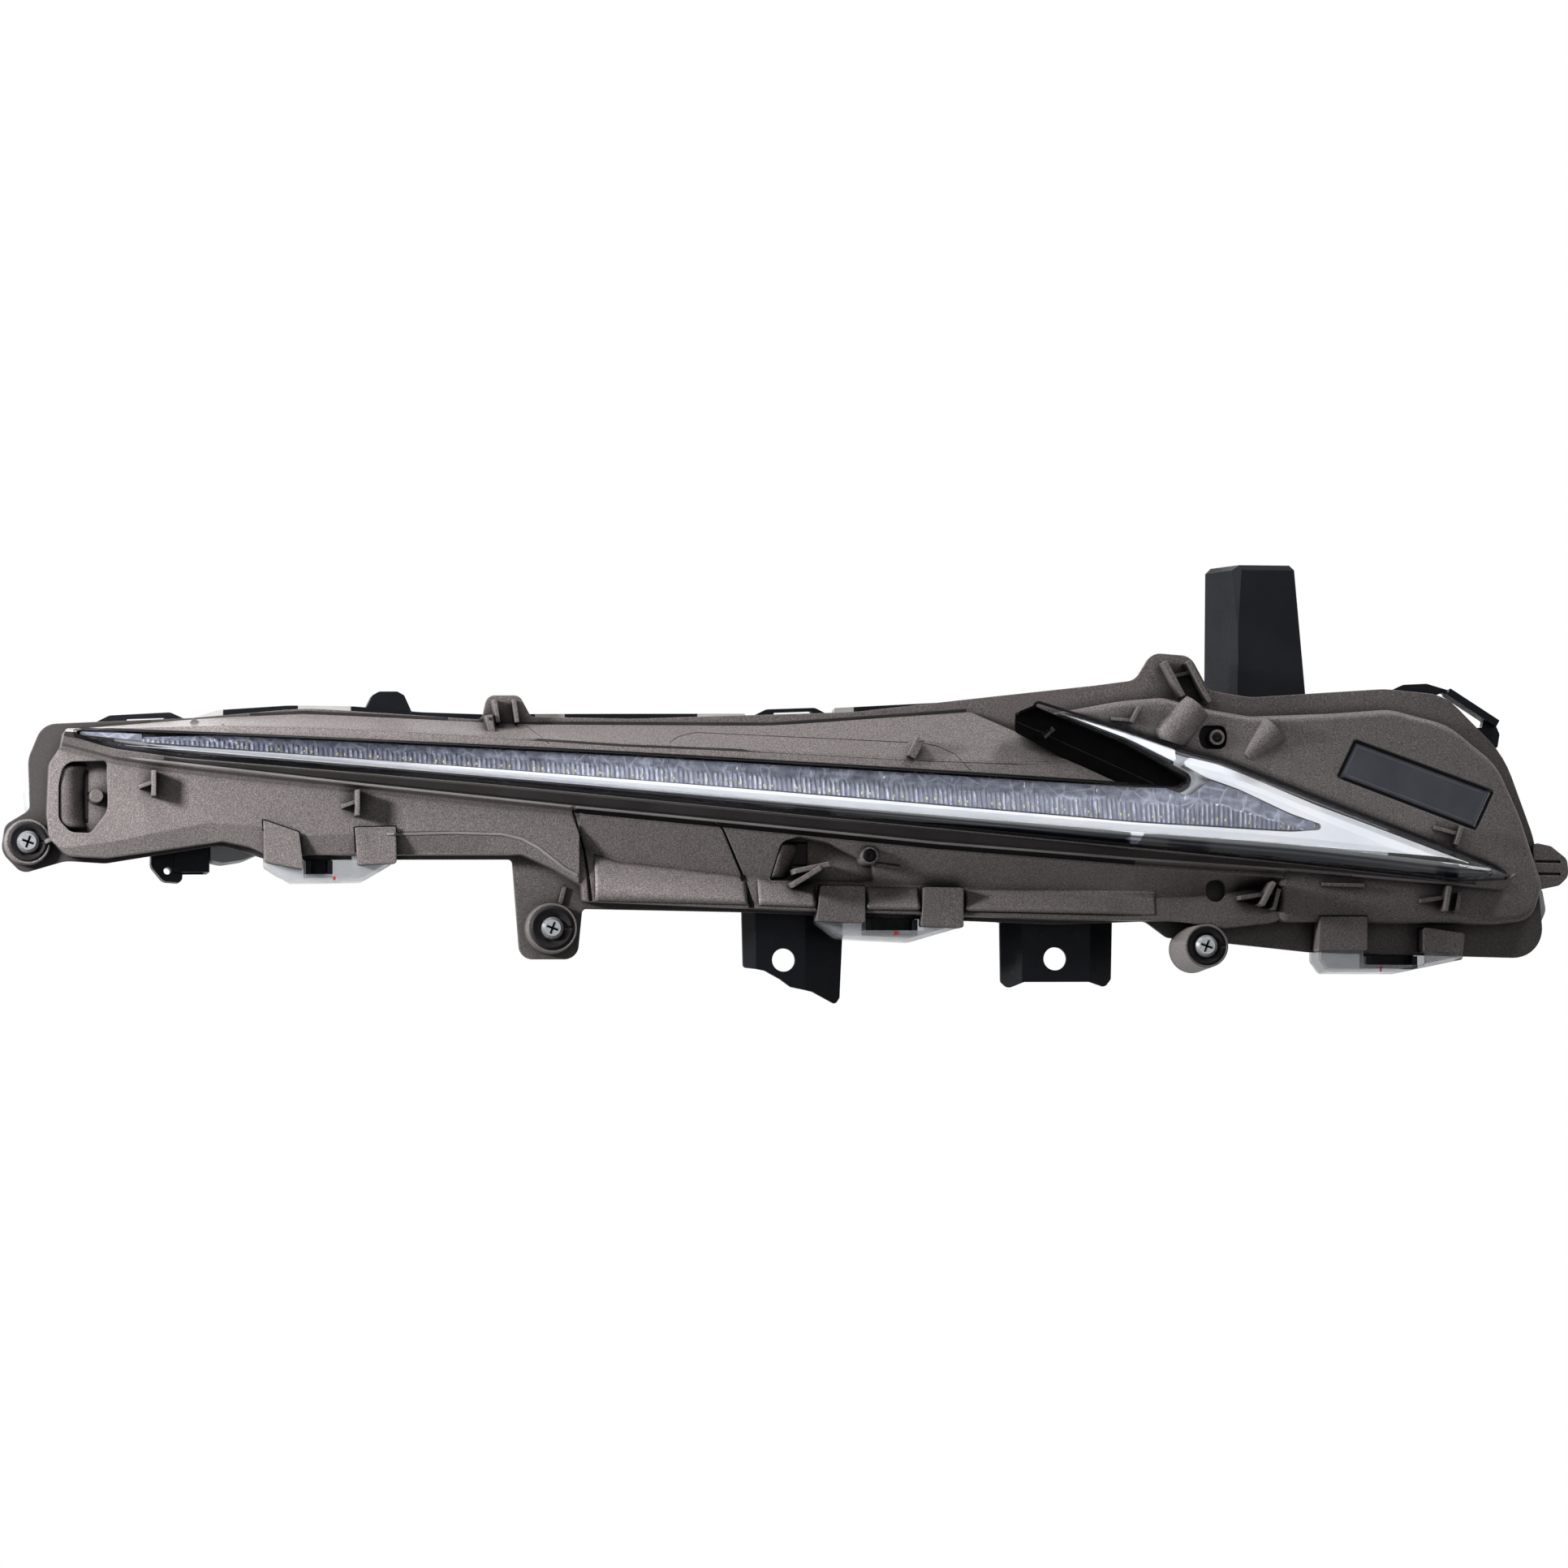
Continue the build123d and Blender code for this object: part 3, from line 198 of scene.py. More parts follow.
    def shader(self, colour, rough, normal=None, **values):
        p = self.node("ShaderNodeBsdfPrincipled")
        self.fill(p.inputs["Base Color"], colour)
        self.fill(p.inputs["Roughness"], rough)
        if normal is not None:
            self.link(normal, p.inputs["Normal"])
        for key, value in values.items():
            p.inputs[key.replace("_", " ")].default_value = value
        return p.outputs[0]

    def blend(self, factor, first, second):
        m = self.node("ShaderNodeMixShader")
        for socket, value in zip(m.inputs, (factor, first, second)):
            self.link(value, socket)
        return m.outputs[0]

    def done(self, shader):
        self.link(shader, self.out.inputs["Surface"])
        return self.mat

    def lit_through(self, shader):
        """Lets the lamps shine through clear plastic onto what is behind it."""
        path = self.node("ShaderNodeLightPath")
        clear = self.node("ShaderNodeBsdfTransparent")
        return self.blend(path.outputs["Is Shadow Ray"], shader, clear.outputs[0])


# Materials
def metallic_paint(name, tone):
    """Bronze paint: fine sparkling flakes, painted shade in each crease, and lighter edges that are partly
    worn paint and partly a painted highlight.
    """
    t = Tree(name)
    stops = [(0.34, (0.147, 0.129, 0.126)), (0.5, (0.237, 0.211, 0.208)), (0.68, (0.383, 0.345, 0.342))]
    toned = [(at, tuple(c * tone for c in colour)) for at, colour in stops]
    flakes = t.ramp(t.noise(2100, 1.0), toned)
    colour = t.mix(t.spread(9, 3.0, 0.0, 0.25), flakes, (0.180, 0.161, 0.158))
    colour = t.mix(t.low_on_the_seat(), colour, (0.045, 0.041, 0.042))
    # lighter edges: partly worn paint, partly a painted highlight
    colour = t.mix(t.math("MULTIPLY", t.edges(0.0006), 0.7), colour, (0.405, 0.375, 0.375))
    # painted shade: darker paint deep in each crease and beside walls
    colour = t.mix(t.crease_shade(0.008), (0.024, 0.021, 0.021), colour)
    rough = t.spread(1500, 2.0, 0.40, 0.54)
    normal = t.bump(t.noise(1700, 2.0), 0.00006, 0.6, t.soft_edges(0.0008))
    return t.done(t.shader(colour, rough, normal, Metallic=0.06, Specular_IOR_Level=0.12))


def grained(name, dark, light, rough=0.42, grain=900, depth=0.00008, edge_wear_and_highlight=(0.035, 0.037, 0.042)):
    """Moulded plastic: fine grain, slow drift of tone and lighter edges, partly worn and partly a painted
    highlight.
    """
    t = Tree(name)
    colour = t.mix(t.spread(40, 4.0, 0, 1), dark, light)
    colour = t.mix(t.edges(0.0005), colour, edge_wear_and_highlight)
    roughness = t.spread(grain * 0.6, 3.0, rough - 0.07, rough + 0.09)
    normal = t.bump(t.noise(grain, 3.0), depth, 0.7, t.soft_edges(0.0007))
    return t.done(t.shader(colour, roughness, normal, Specular_IOR_Level=0.10))


def polished(name, dark, light, rough=0.08, coat=0.6, shine=0.12):
    """Gloss plastic with a faint orange peel."""
    t = Tree(name)
    colour = t.mix(t.spread(60, 3.0, 0, 1), dark, light)
    normal = t.bump(t.noise(260, 2.0), 0.00003, 0.4)
    roughness = t.spread(300, 2.0, rough * 0.7, rough * 1.5)
    return t.done(t.shader(colour, roughness, normal, Coat_Weight=coat, Coat_Roughness=0.03,
                           Specular_IOR_Level=shine))


def brushed(name, dark, light, rough=0.3, metallic=1.0):
    """Metal with fine upright strokes and bright edges."""
    t = Tree(name)
    colour = t.mix(t.spread(500, 4.0, 0, 1, (1, 1, 6)), dark, light)
    colour = t.mix(t.edges(0.0003), colour, (0.80, 0.80, 0.79))
    roughness = t.spread(900, 3.0, rough * 0.7, rough * 1.3)
    normal = t.bump(t.noise(1200, 2.0), 0.00003, 0.5)
    return t.done(t.shader(colour, roughness, normal, Metallic=metallic))


def bright_silver():
    """Bright coating of the frame behind the lens."""
    t = Tree("bright_silver")
    colour = t.mix(t.spread(30, 3.0, 0, 1), (0.630, 0.650, 0.680), (0.740, 0.740, 0.742))
    rough = t.spread(220, 2.0, 0.14, 0.24)
    return t.done(t.shader(colour, rough, t.bump(t.noise(120, 2.0), 0.00003, 0.3), Metallic=0.60))


def clear_plastic():
    """Clear polycarbonate that hardly bends what is seen through it, under a gloss coat."""
    t = Tree("clear_cover")
    rough = t.spread(200, 2.0, 0.0, 0.02)
    glass = t.shader((0.96, 0.97, 0.99), rough, t.bump(t.noise(90, 2.0), 0.00002, 0.2), IOR=1.0,
                     Transmission_Weight=1.0, Coat_Weight=0.5, Coat_Roughness=0.03)
    return t.done(t.lit_through(glass))


def lens_wall_reflections_and_shade():
    """Sheet over the lower wall of the lens, painted with what the clear wall shows, from the top: the
    bright frame, a dark line, a pale painted highlight line, then painted shade streaked with painted
    reflections.
    """
    t = Tree("lens_wall_reflections_and_shade")
    share = t.share()
    streaks = t.noise(1500, 3.0, (0.008, 1, 1))
    tint = t.ramp(streaks, [(0.38, (0.0084, 0.0112, 0.0196)), (0.56, (0.028, 0.0336, 0.0532)),
                            (0.70, (0.168, 0.182, 0.231))])
    place = t.math("ADD", share, t.spread(60, 2.0, -0.03, 0.03, (0.3, 1, 1)))
    bands = t.ramp(place, [
        (0.0, (0.0056, 0.007, 0.0126)), (0.30, (0.0168, 0.0196, 0.0308)),
        (0.40, (0.238, 0.245, 0.287)), (0.48, (0.308, 0.315, 0.364)),
        (0.56, (0.063, 0.07, 0.091)), (0.66, (0.07, 0.077, 0.098)),
        (0.76, (0.7, 0.728, 0.784)), (1.0, (0.9, 0.9, 0.9))])
    colour = t.mix(0.35, bands, tint)
    colour = t.mix(t.fade(share, 0.66, 0.78), colour, bands)
    rough = t.spread(300, 2.0, 0.12, 0.22)
    return t.done(t.shader(colour, rough, t.bump(streaks, 0.0001, 0.3), Specular_IOR_Level=0.3))


def flute_crest_highlights(t):
    """Upright flutes whose pale crests are painted highlights, each a little different."""
    turn = t.math("DIVIDE", t.place()[0], FLUTE)
    phase = t.math("FRACT", t.math("ADD", turn, 500.0))
    each = t.node("ShaderNodeTexWhiteNoise", noise_dimensions="1D")
    t.link(t.math("FLOOR", turn), each.inputs["W"])
    pale = t.math("MULTIPLY", t.math("PINGPONG", phase, 0.5), 2.0)
    pale = t.math("MULTIPLY", pale, t.remap(each.outputs["Value"], 0, 1, 0.55, 1.3))
    pale = t.math("MULTIPLY", pale, t.spread(700, 3.0, 0.6, 1.35, (1, 1, 0.5)))
    return t.ramp(pale, [(0.05, (0.072, 0.077, 0.106)), (0.45, (0.112, 0.119, 0.155)),
                         (0.80, (0.160, 0.170, 0.212)), (1.0, (0.300, 0.318, 0.370))])


def flute_plastic():
    """Light guide: facets above, flutes with painted highlights below, dark along its top and bottom edges.
    """
    t = Tree("optic_clear")
    share = t.share()
    cells = t.node("ShaderNodeTexVoronoi", feature="DISTANCE_TO_EDGE")
    cells.inputs["Scale"].default_value = 95
    t.link(t.coord, cells.inputs["Vector"])
    fine = t.noise(190, 3.0, (1, 1, 1.8))
    facets = t.ramp(fine, [(0.30, (0.068, 0.073, 0.100)), (0.52, (0.125, 0.133, 0.173)),
                           (0.75, (0.228, 0.242, 0.299))])
    seams = t.remap(cells.outputs["Distance"], 0.0, 0.05, 0.45, 0.0)
    facets = t.mix(seams, facets, (0.342, 0.359, 0.422))
    wobble = t.math("ADD", share, t.spread(400, 2.0, -0.07, 0.07))
    colour = t.mix(t.fade(wobble, 0.46, 0.60), flute_crest_highlights(t), facets)
    colour = t.mix(t.fade(wobble, 0.90, 1.0, 0, 0.6), colour, (0.057, 0.062, 0.082))
    colour = t.mix(t.fade(share, 0.04, 0.0), colour, (0.023, 0.025, 0.034))
    rough = t.spread(500, 2.0, 0.12, 0.28)
    return t.done(t.shader(colour, rough, t.bump(fine, 0.0002, 0.4), Specular_IOR_Level=0.3))


def arm_silver():
    """Trim under the upper arm: dark at its tip, then bright."""
    t = Tree("arm_silver")
    bright = t.mix(t.spread(60, 3.0, 0, 1, (0.3, 1, 1)), (0.624, 0.648, 0.696), (0.864, 0.888, 0.9))
    past_tip = t.fade(t.place()[0], 0.1105, 0.124)
    colour = t.mix(past_tip, (0.0144, 0.0156, 0.0192), bright)
    rough = t.spread(220, 2.0, 0.15, 0.27)
    return t.done(t.shader(colour, rough, t.bump(t.noise(120, 2.0), 0.00003, 0.3), Metallic=0.5))


def tray_plastic():
    """Thin clear tray, darker where it is seen edge on."""
    t = Tree("frosted_tray")
    edge = t.node("ShaderNodeLayerWeight")
    edge.inputs["Blend"].default_value = 0.35
    colour = t.mix(t.spread(50, 2.0, 0, 1), (0.56, 0.57, 0.59), (0.70, 0.71, 0.73))
    colour = t.mix(t.fade(edge.outputs["Facing"], 0.45, 1.0, 0, 0.6), colour, (0.22, 0.22, 0.25))
    rough = t.spread(90, 2.0, 0.10, 0.20)
    glass = t.shader(colour, rough, t.bump(t.noise(60, 2.0), 0.00004, 0.3), IOR=1.12,
                     Transmission_Weight=0.72)
    return t.done(t.lit_through(glass))


def pad_foam():
    """Pale foam pads on the rim, black at the end beside the stop."""
    t = Tree("pad_grey")
    x = t.place()[0]
    colour = t.mix(t.spread(40, 4.0, 0, 1), (0.52, 0.52, 0.50), (0.66, 0.66, 0.64))
    after = t.remap(x, -0.1868, -0.1862, 0, 1)
    before = t.remap(x, -0.158, -0.159, 0, 1)
    colour = t.mix(t.math("MULTIPLY", after, before), colour, (0.006, 0.007, 0.009))
    rough = t.spread(900, 3.0, 0.65, 0.85)
    return t.done(t.shader(colour, rough, t.bump(t.noise(1400, 3.0), 0.0001, 0.7),
                           Specular_IOR_Level=0.1))


# Materials of the CAD pieces
PAINT = metallic_paint("bronze_paint", 1.0)
# a lighter copy of the bronze paint, for the lower strips: painted light
PAINT_WITH_PAINTED_LIGHT = metallic_paint("bronze_paint_painted_light", 1.5)
LENS = clear_plastic()
WALL = lens_wall_reflections_and_shade()
BLACK = grained("black_plastic", (0.0045, 0.0054, 0.0075), (0.0105, 0.0123, 0.0165), 0.40, 900, 0.00008,
                edge_wear_and_highlight=(0.03, 0.033, 0.0405))
# darker and duller than the black plastic, for the trough of the arm shade: its own black with painted
# shade
GLOSS = polished("gloss_black", (0.0015, 0.0015, 0.0019), (0.003, 0.0032, 0.0037), 0.35, 0.0, 0.03)
SILVER = bright_silver()
OPTIC = flute_plastic()
RUBBER = grained("seal_rubber", (0.009, 0.009, 0.0105), (0.024, 0.024, 0.027), 0.55, 700, 0.00005)
BOARD = grained("board_white", (0.66, 0.67, 0.64), (0.78, 0.78, 0.75), 0.45, 1200, 0.00003,
                edge_wear_and_highlight=(0.8, 0.8, 0.8))
YELLOW = polished("led_yellow", (0.80, 0.62, 0.14), (0.92, 0.78, 0.30), 0.2, 0.3)
CAST = brushed("plain_aluminium", (0.46, 0.47, 0.48), (0.62, 0.63, 0.64), 0.42)
ZINC = brushed("zinc_screw", (0.34, 0.36, 0.38), (0.50, 0.52, 0.54), 0.34, 0.6)
TRAY = tray_plastic()
ARM = arm_silver()
POST = grained("post_plastic", (0.009, 0.0105, 0.0135), (0.018, 0.0203, 0.0255), 0.38, 900, 0.00006,
               edge_wear_and_highlight=(0.06, 0.063, 0.072))
WHITE = grained("lid_white", (0.60, 0.62, 0.64), (0.72, 0.74, 0.76), 0.50, 800, 0.00005,
                edge_wear_and_highlight=(0.8, 0.8, 0.8))
PAD = pad_foam()
TIN = brushed("tin_pin", (0.55, 0.55, 0.53), (0.72, 0.72, 0.70), 0.25)
WINDOW = polished("dark_window", (0.063, 0.0705, 0.093), (0.093, 0.102, 0.129), 0.16, 0.3)

# Materials of the pieces made here
YELLOW_SPOT = polished("optic_spot", (0.3, 0.27, 0.0825), (0.51, 0.465, 0.165), 0.3, 0.2)
SHADOW = grained("deep_shadow", (0.0023, 0.0023, 0.003), (0.006, 0.006, 0.0075), 0.6, 900, 0.00002,
                 edge_wear_and_highlight=(0.006, 0.006, 0.0075))
LINE = grained("hair_line", (0.027, 0.0255, 0.027), (0.0675, 0.063, 0.0645), 0.5, 900, 0.00002,
               edge_wear_and_highlight=(0.075, 0.072, 0.075))
# pale colour for the fold bead, the ridge line and the tab in the trough: a painted highlight
BEAD = grained("bead_painted_highlight", (0.3, 0.2775, 0.2775), (0.51, 0.48, 0.48), 0.45, 1700, 0.00004,
               edge_wear_and_highlight=(0.54, 0.51, 0.51))
DARK_PAINT = grained("shaded_paint", (0.03, 0.027, 0.027), (0.06, 0.054, 0.054), 0.5, 1700, 0.00005,
                     edge_wear_and_highlight=(0.12, 0.1125, 0.1125))
# dark paint in the cups round the screw heads: painted shade
CUP = grained("cup_painted_shade", (0.018, 0.0165, 0.018), (0.042, 0.039, 0.042), 0.5, 1700, 0.00005,
              edge_wear_and_highlight=(0.06, 0.057, 0.06))
GLINT = polished("edge_glint", (0.50, 0.53, 0.58), (0.74, 0.77, 0.80), 0.1, 0.3)
GLINT_DARK = polished("edge_glint_dark", (0.135, 0.15, 0.195), (0.195, 0.21, 0.255), 0.2, 0.3)
RED = polished("red_tick", (0.60, 0.02, 0.02), (0.75, 0.05, 0.04), 0.35, 0.2)

FINISH = {
    "arm_shade": GLOSS, "arm_trim": ARM, "back_lid": WHITE, "bracket_screws": ZINC, "bright_frame": SILVER,
    "clear_lens": LENS, "cover_screws": ZINC, "dark_window": WINDOW, "driver_module": CAST,
    "fluted_optic": OPTIC, "front_cover": PAINT, "heat_sink": CAST, "inlet_clip": BLACK, "inlet_pins": TIN,
    "led_board": BOARD, "led_chips": YELLOW, "lens_seal": RUBBER, "lower_bracket_left": BLACK,
    "lower_bracket_right": BLACK, "main_inlet": BLACK, "rear_housing": BLACK, "rim_pads": PAD,
    "rim_strip": BLACK, "snap_tray_left": TRAY, "snap_tray_middle": TRAY, "snap_tray_right": TRAY,
    "top_post": POST, "top_stop": BLACK, "vent_cap": BLACK,
}
for name, node in nodes.items():
    node.data.materials.clear()
    node.data.materials.append(FINISH[name])


# Floor and world
def pale_floor():
    """Pale where it is looked at, mirrored or seen through, grey for the light that it gives back."""
    t = Tree("floor_pale")
    path = t.node("ShaderNodeLightPath")
    seen = t.math("MAXIMUM", path.outputs["Is Camera Ray"], path.outputs["Is Glossy Ray"])
    seen = t.math("MAXIMUM", seen, path.outputs["Is Transmission Ray"])
    glow = t.node("ShaderNodeEmission")
    glow.inputs["Strength"].default_value = 1.0
    pale = t.mix(t.spread(3, 3.0, 0, 1), (0.94, 0.94, 0.94), (0.96, 0.96, 0.955))
    soft = t.shader(t.mix(seen, (0.16, 0.16, 0.16), pale), 0.9)
    reach = t.node("ShaderNodeVectorMath", operation="LENGTH")
    t.link(t.coord, reach.inputs[0])
    far = t.fade(reach.outputs["Value"], 0.5, 1.8, 0.74, 1)
    return t.done(t.blend(t.math("MULTIPLY", seen, far), soft, glow.outputs[0]))


def lay_floor(half, height):
    mesh = bpy.data.meshes.new("floor")
    corners = [(x, y, height) for x, y in ((-half, -half), (half, -half), (half, half), (-half, half))]
    mesh.from_pydata(corners, [], [(0, 1, 2, 3)])
    floor = bpy.data.objects.new("floor", mesh)
    scene.collection.objects.link(floor)
    mesh.materials.append(pale_floor())
    floor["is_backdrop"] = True


def light_world():
    """White where it is looked at, mirrored or seen through, a faint fill for everything else."""
    world = bpy.data.worlds.new("studio")
    scene.world = world
    world.use_nodes = True
    tree = world.node_tree
    tree.nodes.clear()
    path = tree.nodes.new("ShaderNodeLightPath")
    white = tree.nodes.new("ShaderNodeBackground")
    white.inputs["Color"].default_value = (1, 1, 1, 1)
    white.inputs["Strength"].default_value = 1.0
    fill = tree.nodes.new("ShaderNodeBackground")
    fill.inputs["Color"].default_value = (0.96, 0.98, 1.0, 1)
    fill.inputs["Strength"].default_value = 0.05
    mirrored = tree.nodes.new("ShaderNodeMath")
    seen = tree.nodes.new("ShaderNodeMath")
    mirrored.operation = seen.operation = "MAXIMUM"
    both = tree.nodes.new("ShaderNodeMixShader")
    out = tree.nodes.new("ShaderNodeOutputWorld")
    for start, end in ((path.outputs["Is Camera Ray"], mirrored.inputs[0]),
                       (path.outputs["Is Glossy Ray"], mirrored.inputs[1]),
                       (mirrored.outputs[0], seen.inputs[0]),
                       (path.outputs["Is Transmission Ray"], seen.inputs[1]),
                       (seen.outputs[0], both.inputs[0]),
                       (fill.outputs[0], both.inputs[1]),
                       (white.outputs[0], both.inputs[2]),
                       (both.outputs[0], out.inputs["Surface"])):
        tree.links.new(start, end)


lay_floor(40, -0.40)
light_world()


# Helpers for the pieces made here
def tree_of(name):
    mesh = nodes[name].data
    return BVHTree.FromPolygons([v.co for v in mesh.vertices], [p.vertices[:] for p in mesh.polygons])


def line_at(points, x):
    """Height z of a line through (x, z) points."""
    if x <= points[0][0]:
        return points[0][1]
    for (x0, z0), (x1, z1) in zip(points, points[1:]):
        if x <= x1:
            return z0 + (z1 - z0) * (x - x0) / (x1 - x0)
    return points[-1][1]


def seat_at(x):
    """Depth of the surface on which the cover and the housing meet."""
    return BOW - math.sqrt(BOW ** 2 - (x - BOW_APEX) ** 2) - BOW_AT_ZERO - SEAT_BACK


def front_of(tree, x, z):
    """Place where a look along +Y at (x, z) meets a CAD piece, or None."""
    return tree.ray_cast(Vector((x, -0.3, z)), Vector((0, 1, 0)))[0]


def edge_of(tree, x, z, towards):
    """Last height, going up or down from z, at which the piece is met."""
    inside, outside = z, z + towards * 0.03
    for _ in range(12):
        middle = (inside + outside) / 2
        if front_of(tree, x, middle) is None:
            outside = middle
        else:
            inside = middle
    return inside


def depth_range(column):
    """How far the points of a column reach in depth."""
    return max(p.y for p in column) - min(p.y for p in column)


def raised(column, lift):
    """The same points, moved towards the viewer."""
    return [p - Vector((0, lift, 0)) for p in column]


def piece(name, points, faces, material, slot=None, smooth=False):
    mesh = bpy.data.meshes.new(name)
    mesh.from_pydata([tuple(p) for p in points], [], faces)
    mesh.materials.append(material)
    if smooth:
        mesh.shade_smooth()
    thing = bpy.data.objects.new(name, mesh)
    scene.collection.objects.link(thing)
    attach(thing, "root")
    return thing


def write_share(thing, shares):
    """Stores the heights that the share call of a material reads, for the front and the back of a sheet."""
    mark = thing.data.attributes.new("share", "FLOAT", "POINT")
    mark.data.foreach_set("value", shares + shares)


def sheet_of(columns, depth):
    """Points and faces of a closed thin sheet from columns of front points."""
    high = len(columns[0])
    points = [p for column in columns for p in column]
    points += [p + Vector((0, depth, 0)) for column in columns for p in column]
    back = len(columns) * high
    faces = []
    for i in range(len(columns) - 1):
        for j in range(high - 1):
            a = i * high + j
            faces.append((a, a + high, a + high + 1, a + 1))
            faces.append((back + a, back + a + 1, back + a + high + 1, back + a + high))
        low_edge = i * high
        top_edge = low_edge + high - 1
        faces.append((low_edge, back + low_edge, back + low_edge + high, low_edge + high))
        faces.append((top_edge, top_edge + high, back + top_edge + high, back + top_edge))
    for start, turn in ((0, 1), ((len(columns) - 1) * high, -1)):
        for j in range(high - 1):
            a = start + j
            faces.append((a, a + 1, back + a + 1, back + a)[::turn])
    return points, faces


def add_sheet(points, faces, columns, depth):
    """Adds one more sheet to the points and faces of a piece."""
    more, sides = sheet_of(columns, depth)
    faces.extend(tuple(len(points) + q for q in face) for face in sides)
    points.extend(more)


def steps_along(path, step):
    """Evenly spaced (x, z, nx, nz) places on a line of (x, z) points in mm."""
    places = []
    for (x0, z0), (x1, z1) in zip(path, path[1:]):
        length = math.hypot(x1 - x0, z1 - z0)
        count = max(1, round(length / step))
        nx, nz = -(z1 - z0) / length, (x1 - x0) / length
        last = 1 if (x1, z1) == tuple(path[-1]) else 0
        for k in range(count + last):
            places.append((x0 + (x1 - x0) * k / count, z0 + (z1 - z0) * k / count, nx, nz))
    return places


# a strip is broken off where its two edges, or two of its steps, lie further apart in depth than this
TILT, TILT_PER_WIDTH = 0.002, 0.0015
JUMP = 0.003


def strips(name, tree, paths, width, lift, material, slot, depth=SKIN, step=1.5):
    """Thin strips that follow lines of (x, z) points over a CAD piece.

    The lines, width and step are in mm, lift and depth in metres.
    """
    points, faces = [], []
    for path in paths:
        runs = [[]]
        for x, z, nx, nz in steps_along(path, step):
            ends = [front_of(tree, (x + side * nx * width / 2) * MM, (z + side * nz * width / 2) * MM)
                    for side in (-1, 1)]
            if None in ends or abs(ends[0].y - ends[1].y) > TILT + width * TILT_PER_WIDTH:
                runs.append([])
                continue
            ends = raised(ends, lift)
            if runs[-1] and abs(runs[-1][-1][0].y - ends[0].y) > JUMP:
                runs.append([])
            runs[-1].append(ends)
        for run in runs:
            if len(run) > 1:
                add_sheet(points, faces, run, depth)
    return piece(name, points, faces, material, slot)


def rings(name, centres, inner, outer, material, slot):
    """Flat rings or discs round (x, z) centres in mm, following the cover."""
    parts, rows = 48, 3
    points, faces = [], []
    for (x, z), r0, r1 in zip(centres, inner, outer):
        columns = []
        for k in range(parts + 1):
            angle = -2 * math.pi * k / parts
            radii = [r0 + (r1 - r0) * j / rows for j in range(rows + 1)]
            column = [front_of(cover, (x + r * math.cos(angle)) * MM, (z + r * math.sin(angle)) * MM)
                      for r in radii]
            if None not in column:
                columns.append(raised(column, 0.00004))
        add_sheet(points, faces, columns, SKIN)
    return piece(name, points, faces, material, slot, True)


def inset(corners, amount):
    """Corners of a convex outline moved inwards (clockwise order in the XZ plane)."""
    count = len(corners)
    lines = []
    for i in range(count):
        (x0, z0), (x1, z1) = corners[i], corners[(i + 1) % count]
        length = math.hypot(x1 - x0, z1 - z0)
        nx, nz = (z1 - z0) / length, -(x1 - x0) / length
        lines.append((x0 + nx * amount, z0 + nz * amount, x1 - x0, z1 - z0))
    result = []
    for i in range(count):
        ax, az, adx, adz = lines[i - 1]
        bx, bz, bdx, bdz = lines[i]
        cross = adx * bdz - adz * bdx
        t = ((bx - ax) * bdz - (bz - az) * bdx) / cross
        result.append((ax + adx * t, az + adz * t))
    return result


def loop(corners):
    return [*corners, corners[0]]


cover = tree_of("front_cover")
shade = tree_of("arm_shade")
screw = tree_of("cover_screws")
glass = tree_of("dark_window")
guide = tree_of("fluted_optic")
lens = tree_of("clear_lens")

# Fluted light guide behind the lens, on a line along its middle
MIDDLE = [(-0.278, 0.0936), (-0.213, 0.0892), (-0.072, 0.0798), (0.0177, 0.0735), (0.149, 0.0652),
          (0.173, 0.0655), (0.200, 0.0625), (0.233, 0.0569)]
HEAD_CUT = [(0.171, 0.0700), (0.2271, 0.0548)]  # above this line the head of the guide is smooth
HEAD_FROM = HEAD_CUT[0][0]
ROWS = 20
COLUMNS = 1530
GUIDE_LEFT, GUIDE_LENGTH = -0.3031, 0.5354
SMOOTH_END, SMOOTH_LENGTH = -0.2765, 0.0266  # left of the last light source
END_DEPTH_AT = -0.2760
RISE = 0.0027  # the guide's upper edge stands in the clear wall of the lens
RISE_FROM, RISE_IN = -0.285, 0.04
RISE_TO, RISE_OUT = 0.170, 0.008
FLUTE_DEPTH, RIPPLE = 0.0006, 0.00020
FACETS_FROM = 0.46  # share of the height above which the flutes fade into facets
SCATTER = 12.9898  # turns a flute's number into a value that looks random


def smooth_column(x, end_depth):
    rise = (SMOOTH_END - x) / SMOOTH_LENGTH
    z0, z1 = 0.0934 + 0.0026 * rise, 0.0962 + 0.0012 * rise
    y = end_depth + (seat_at(x) - seat_at(END_DEPTH_AT))
    return [Vector((x, y, z0 + (z1 - z0) * j / (ROWS - 1))) for j in range(ROWS)], [0.75] * ROWS


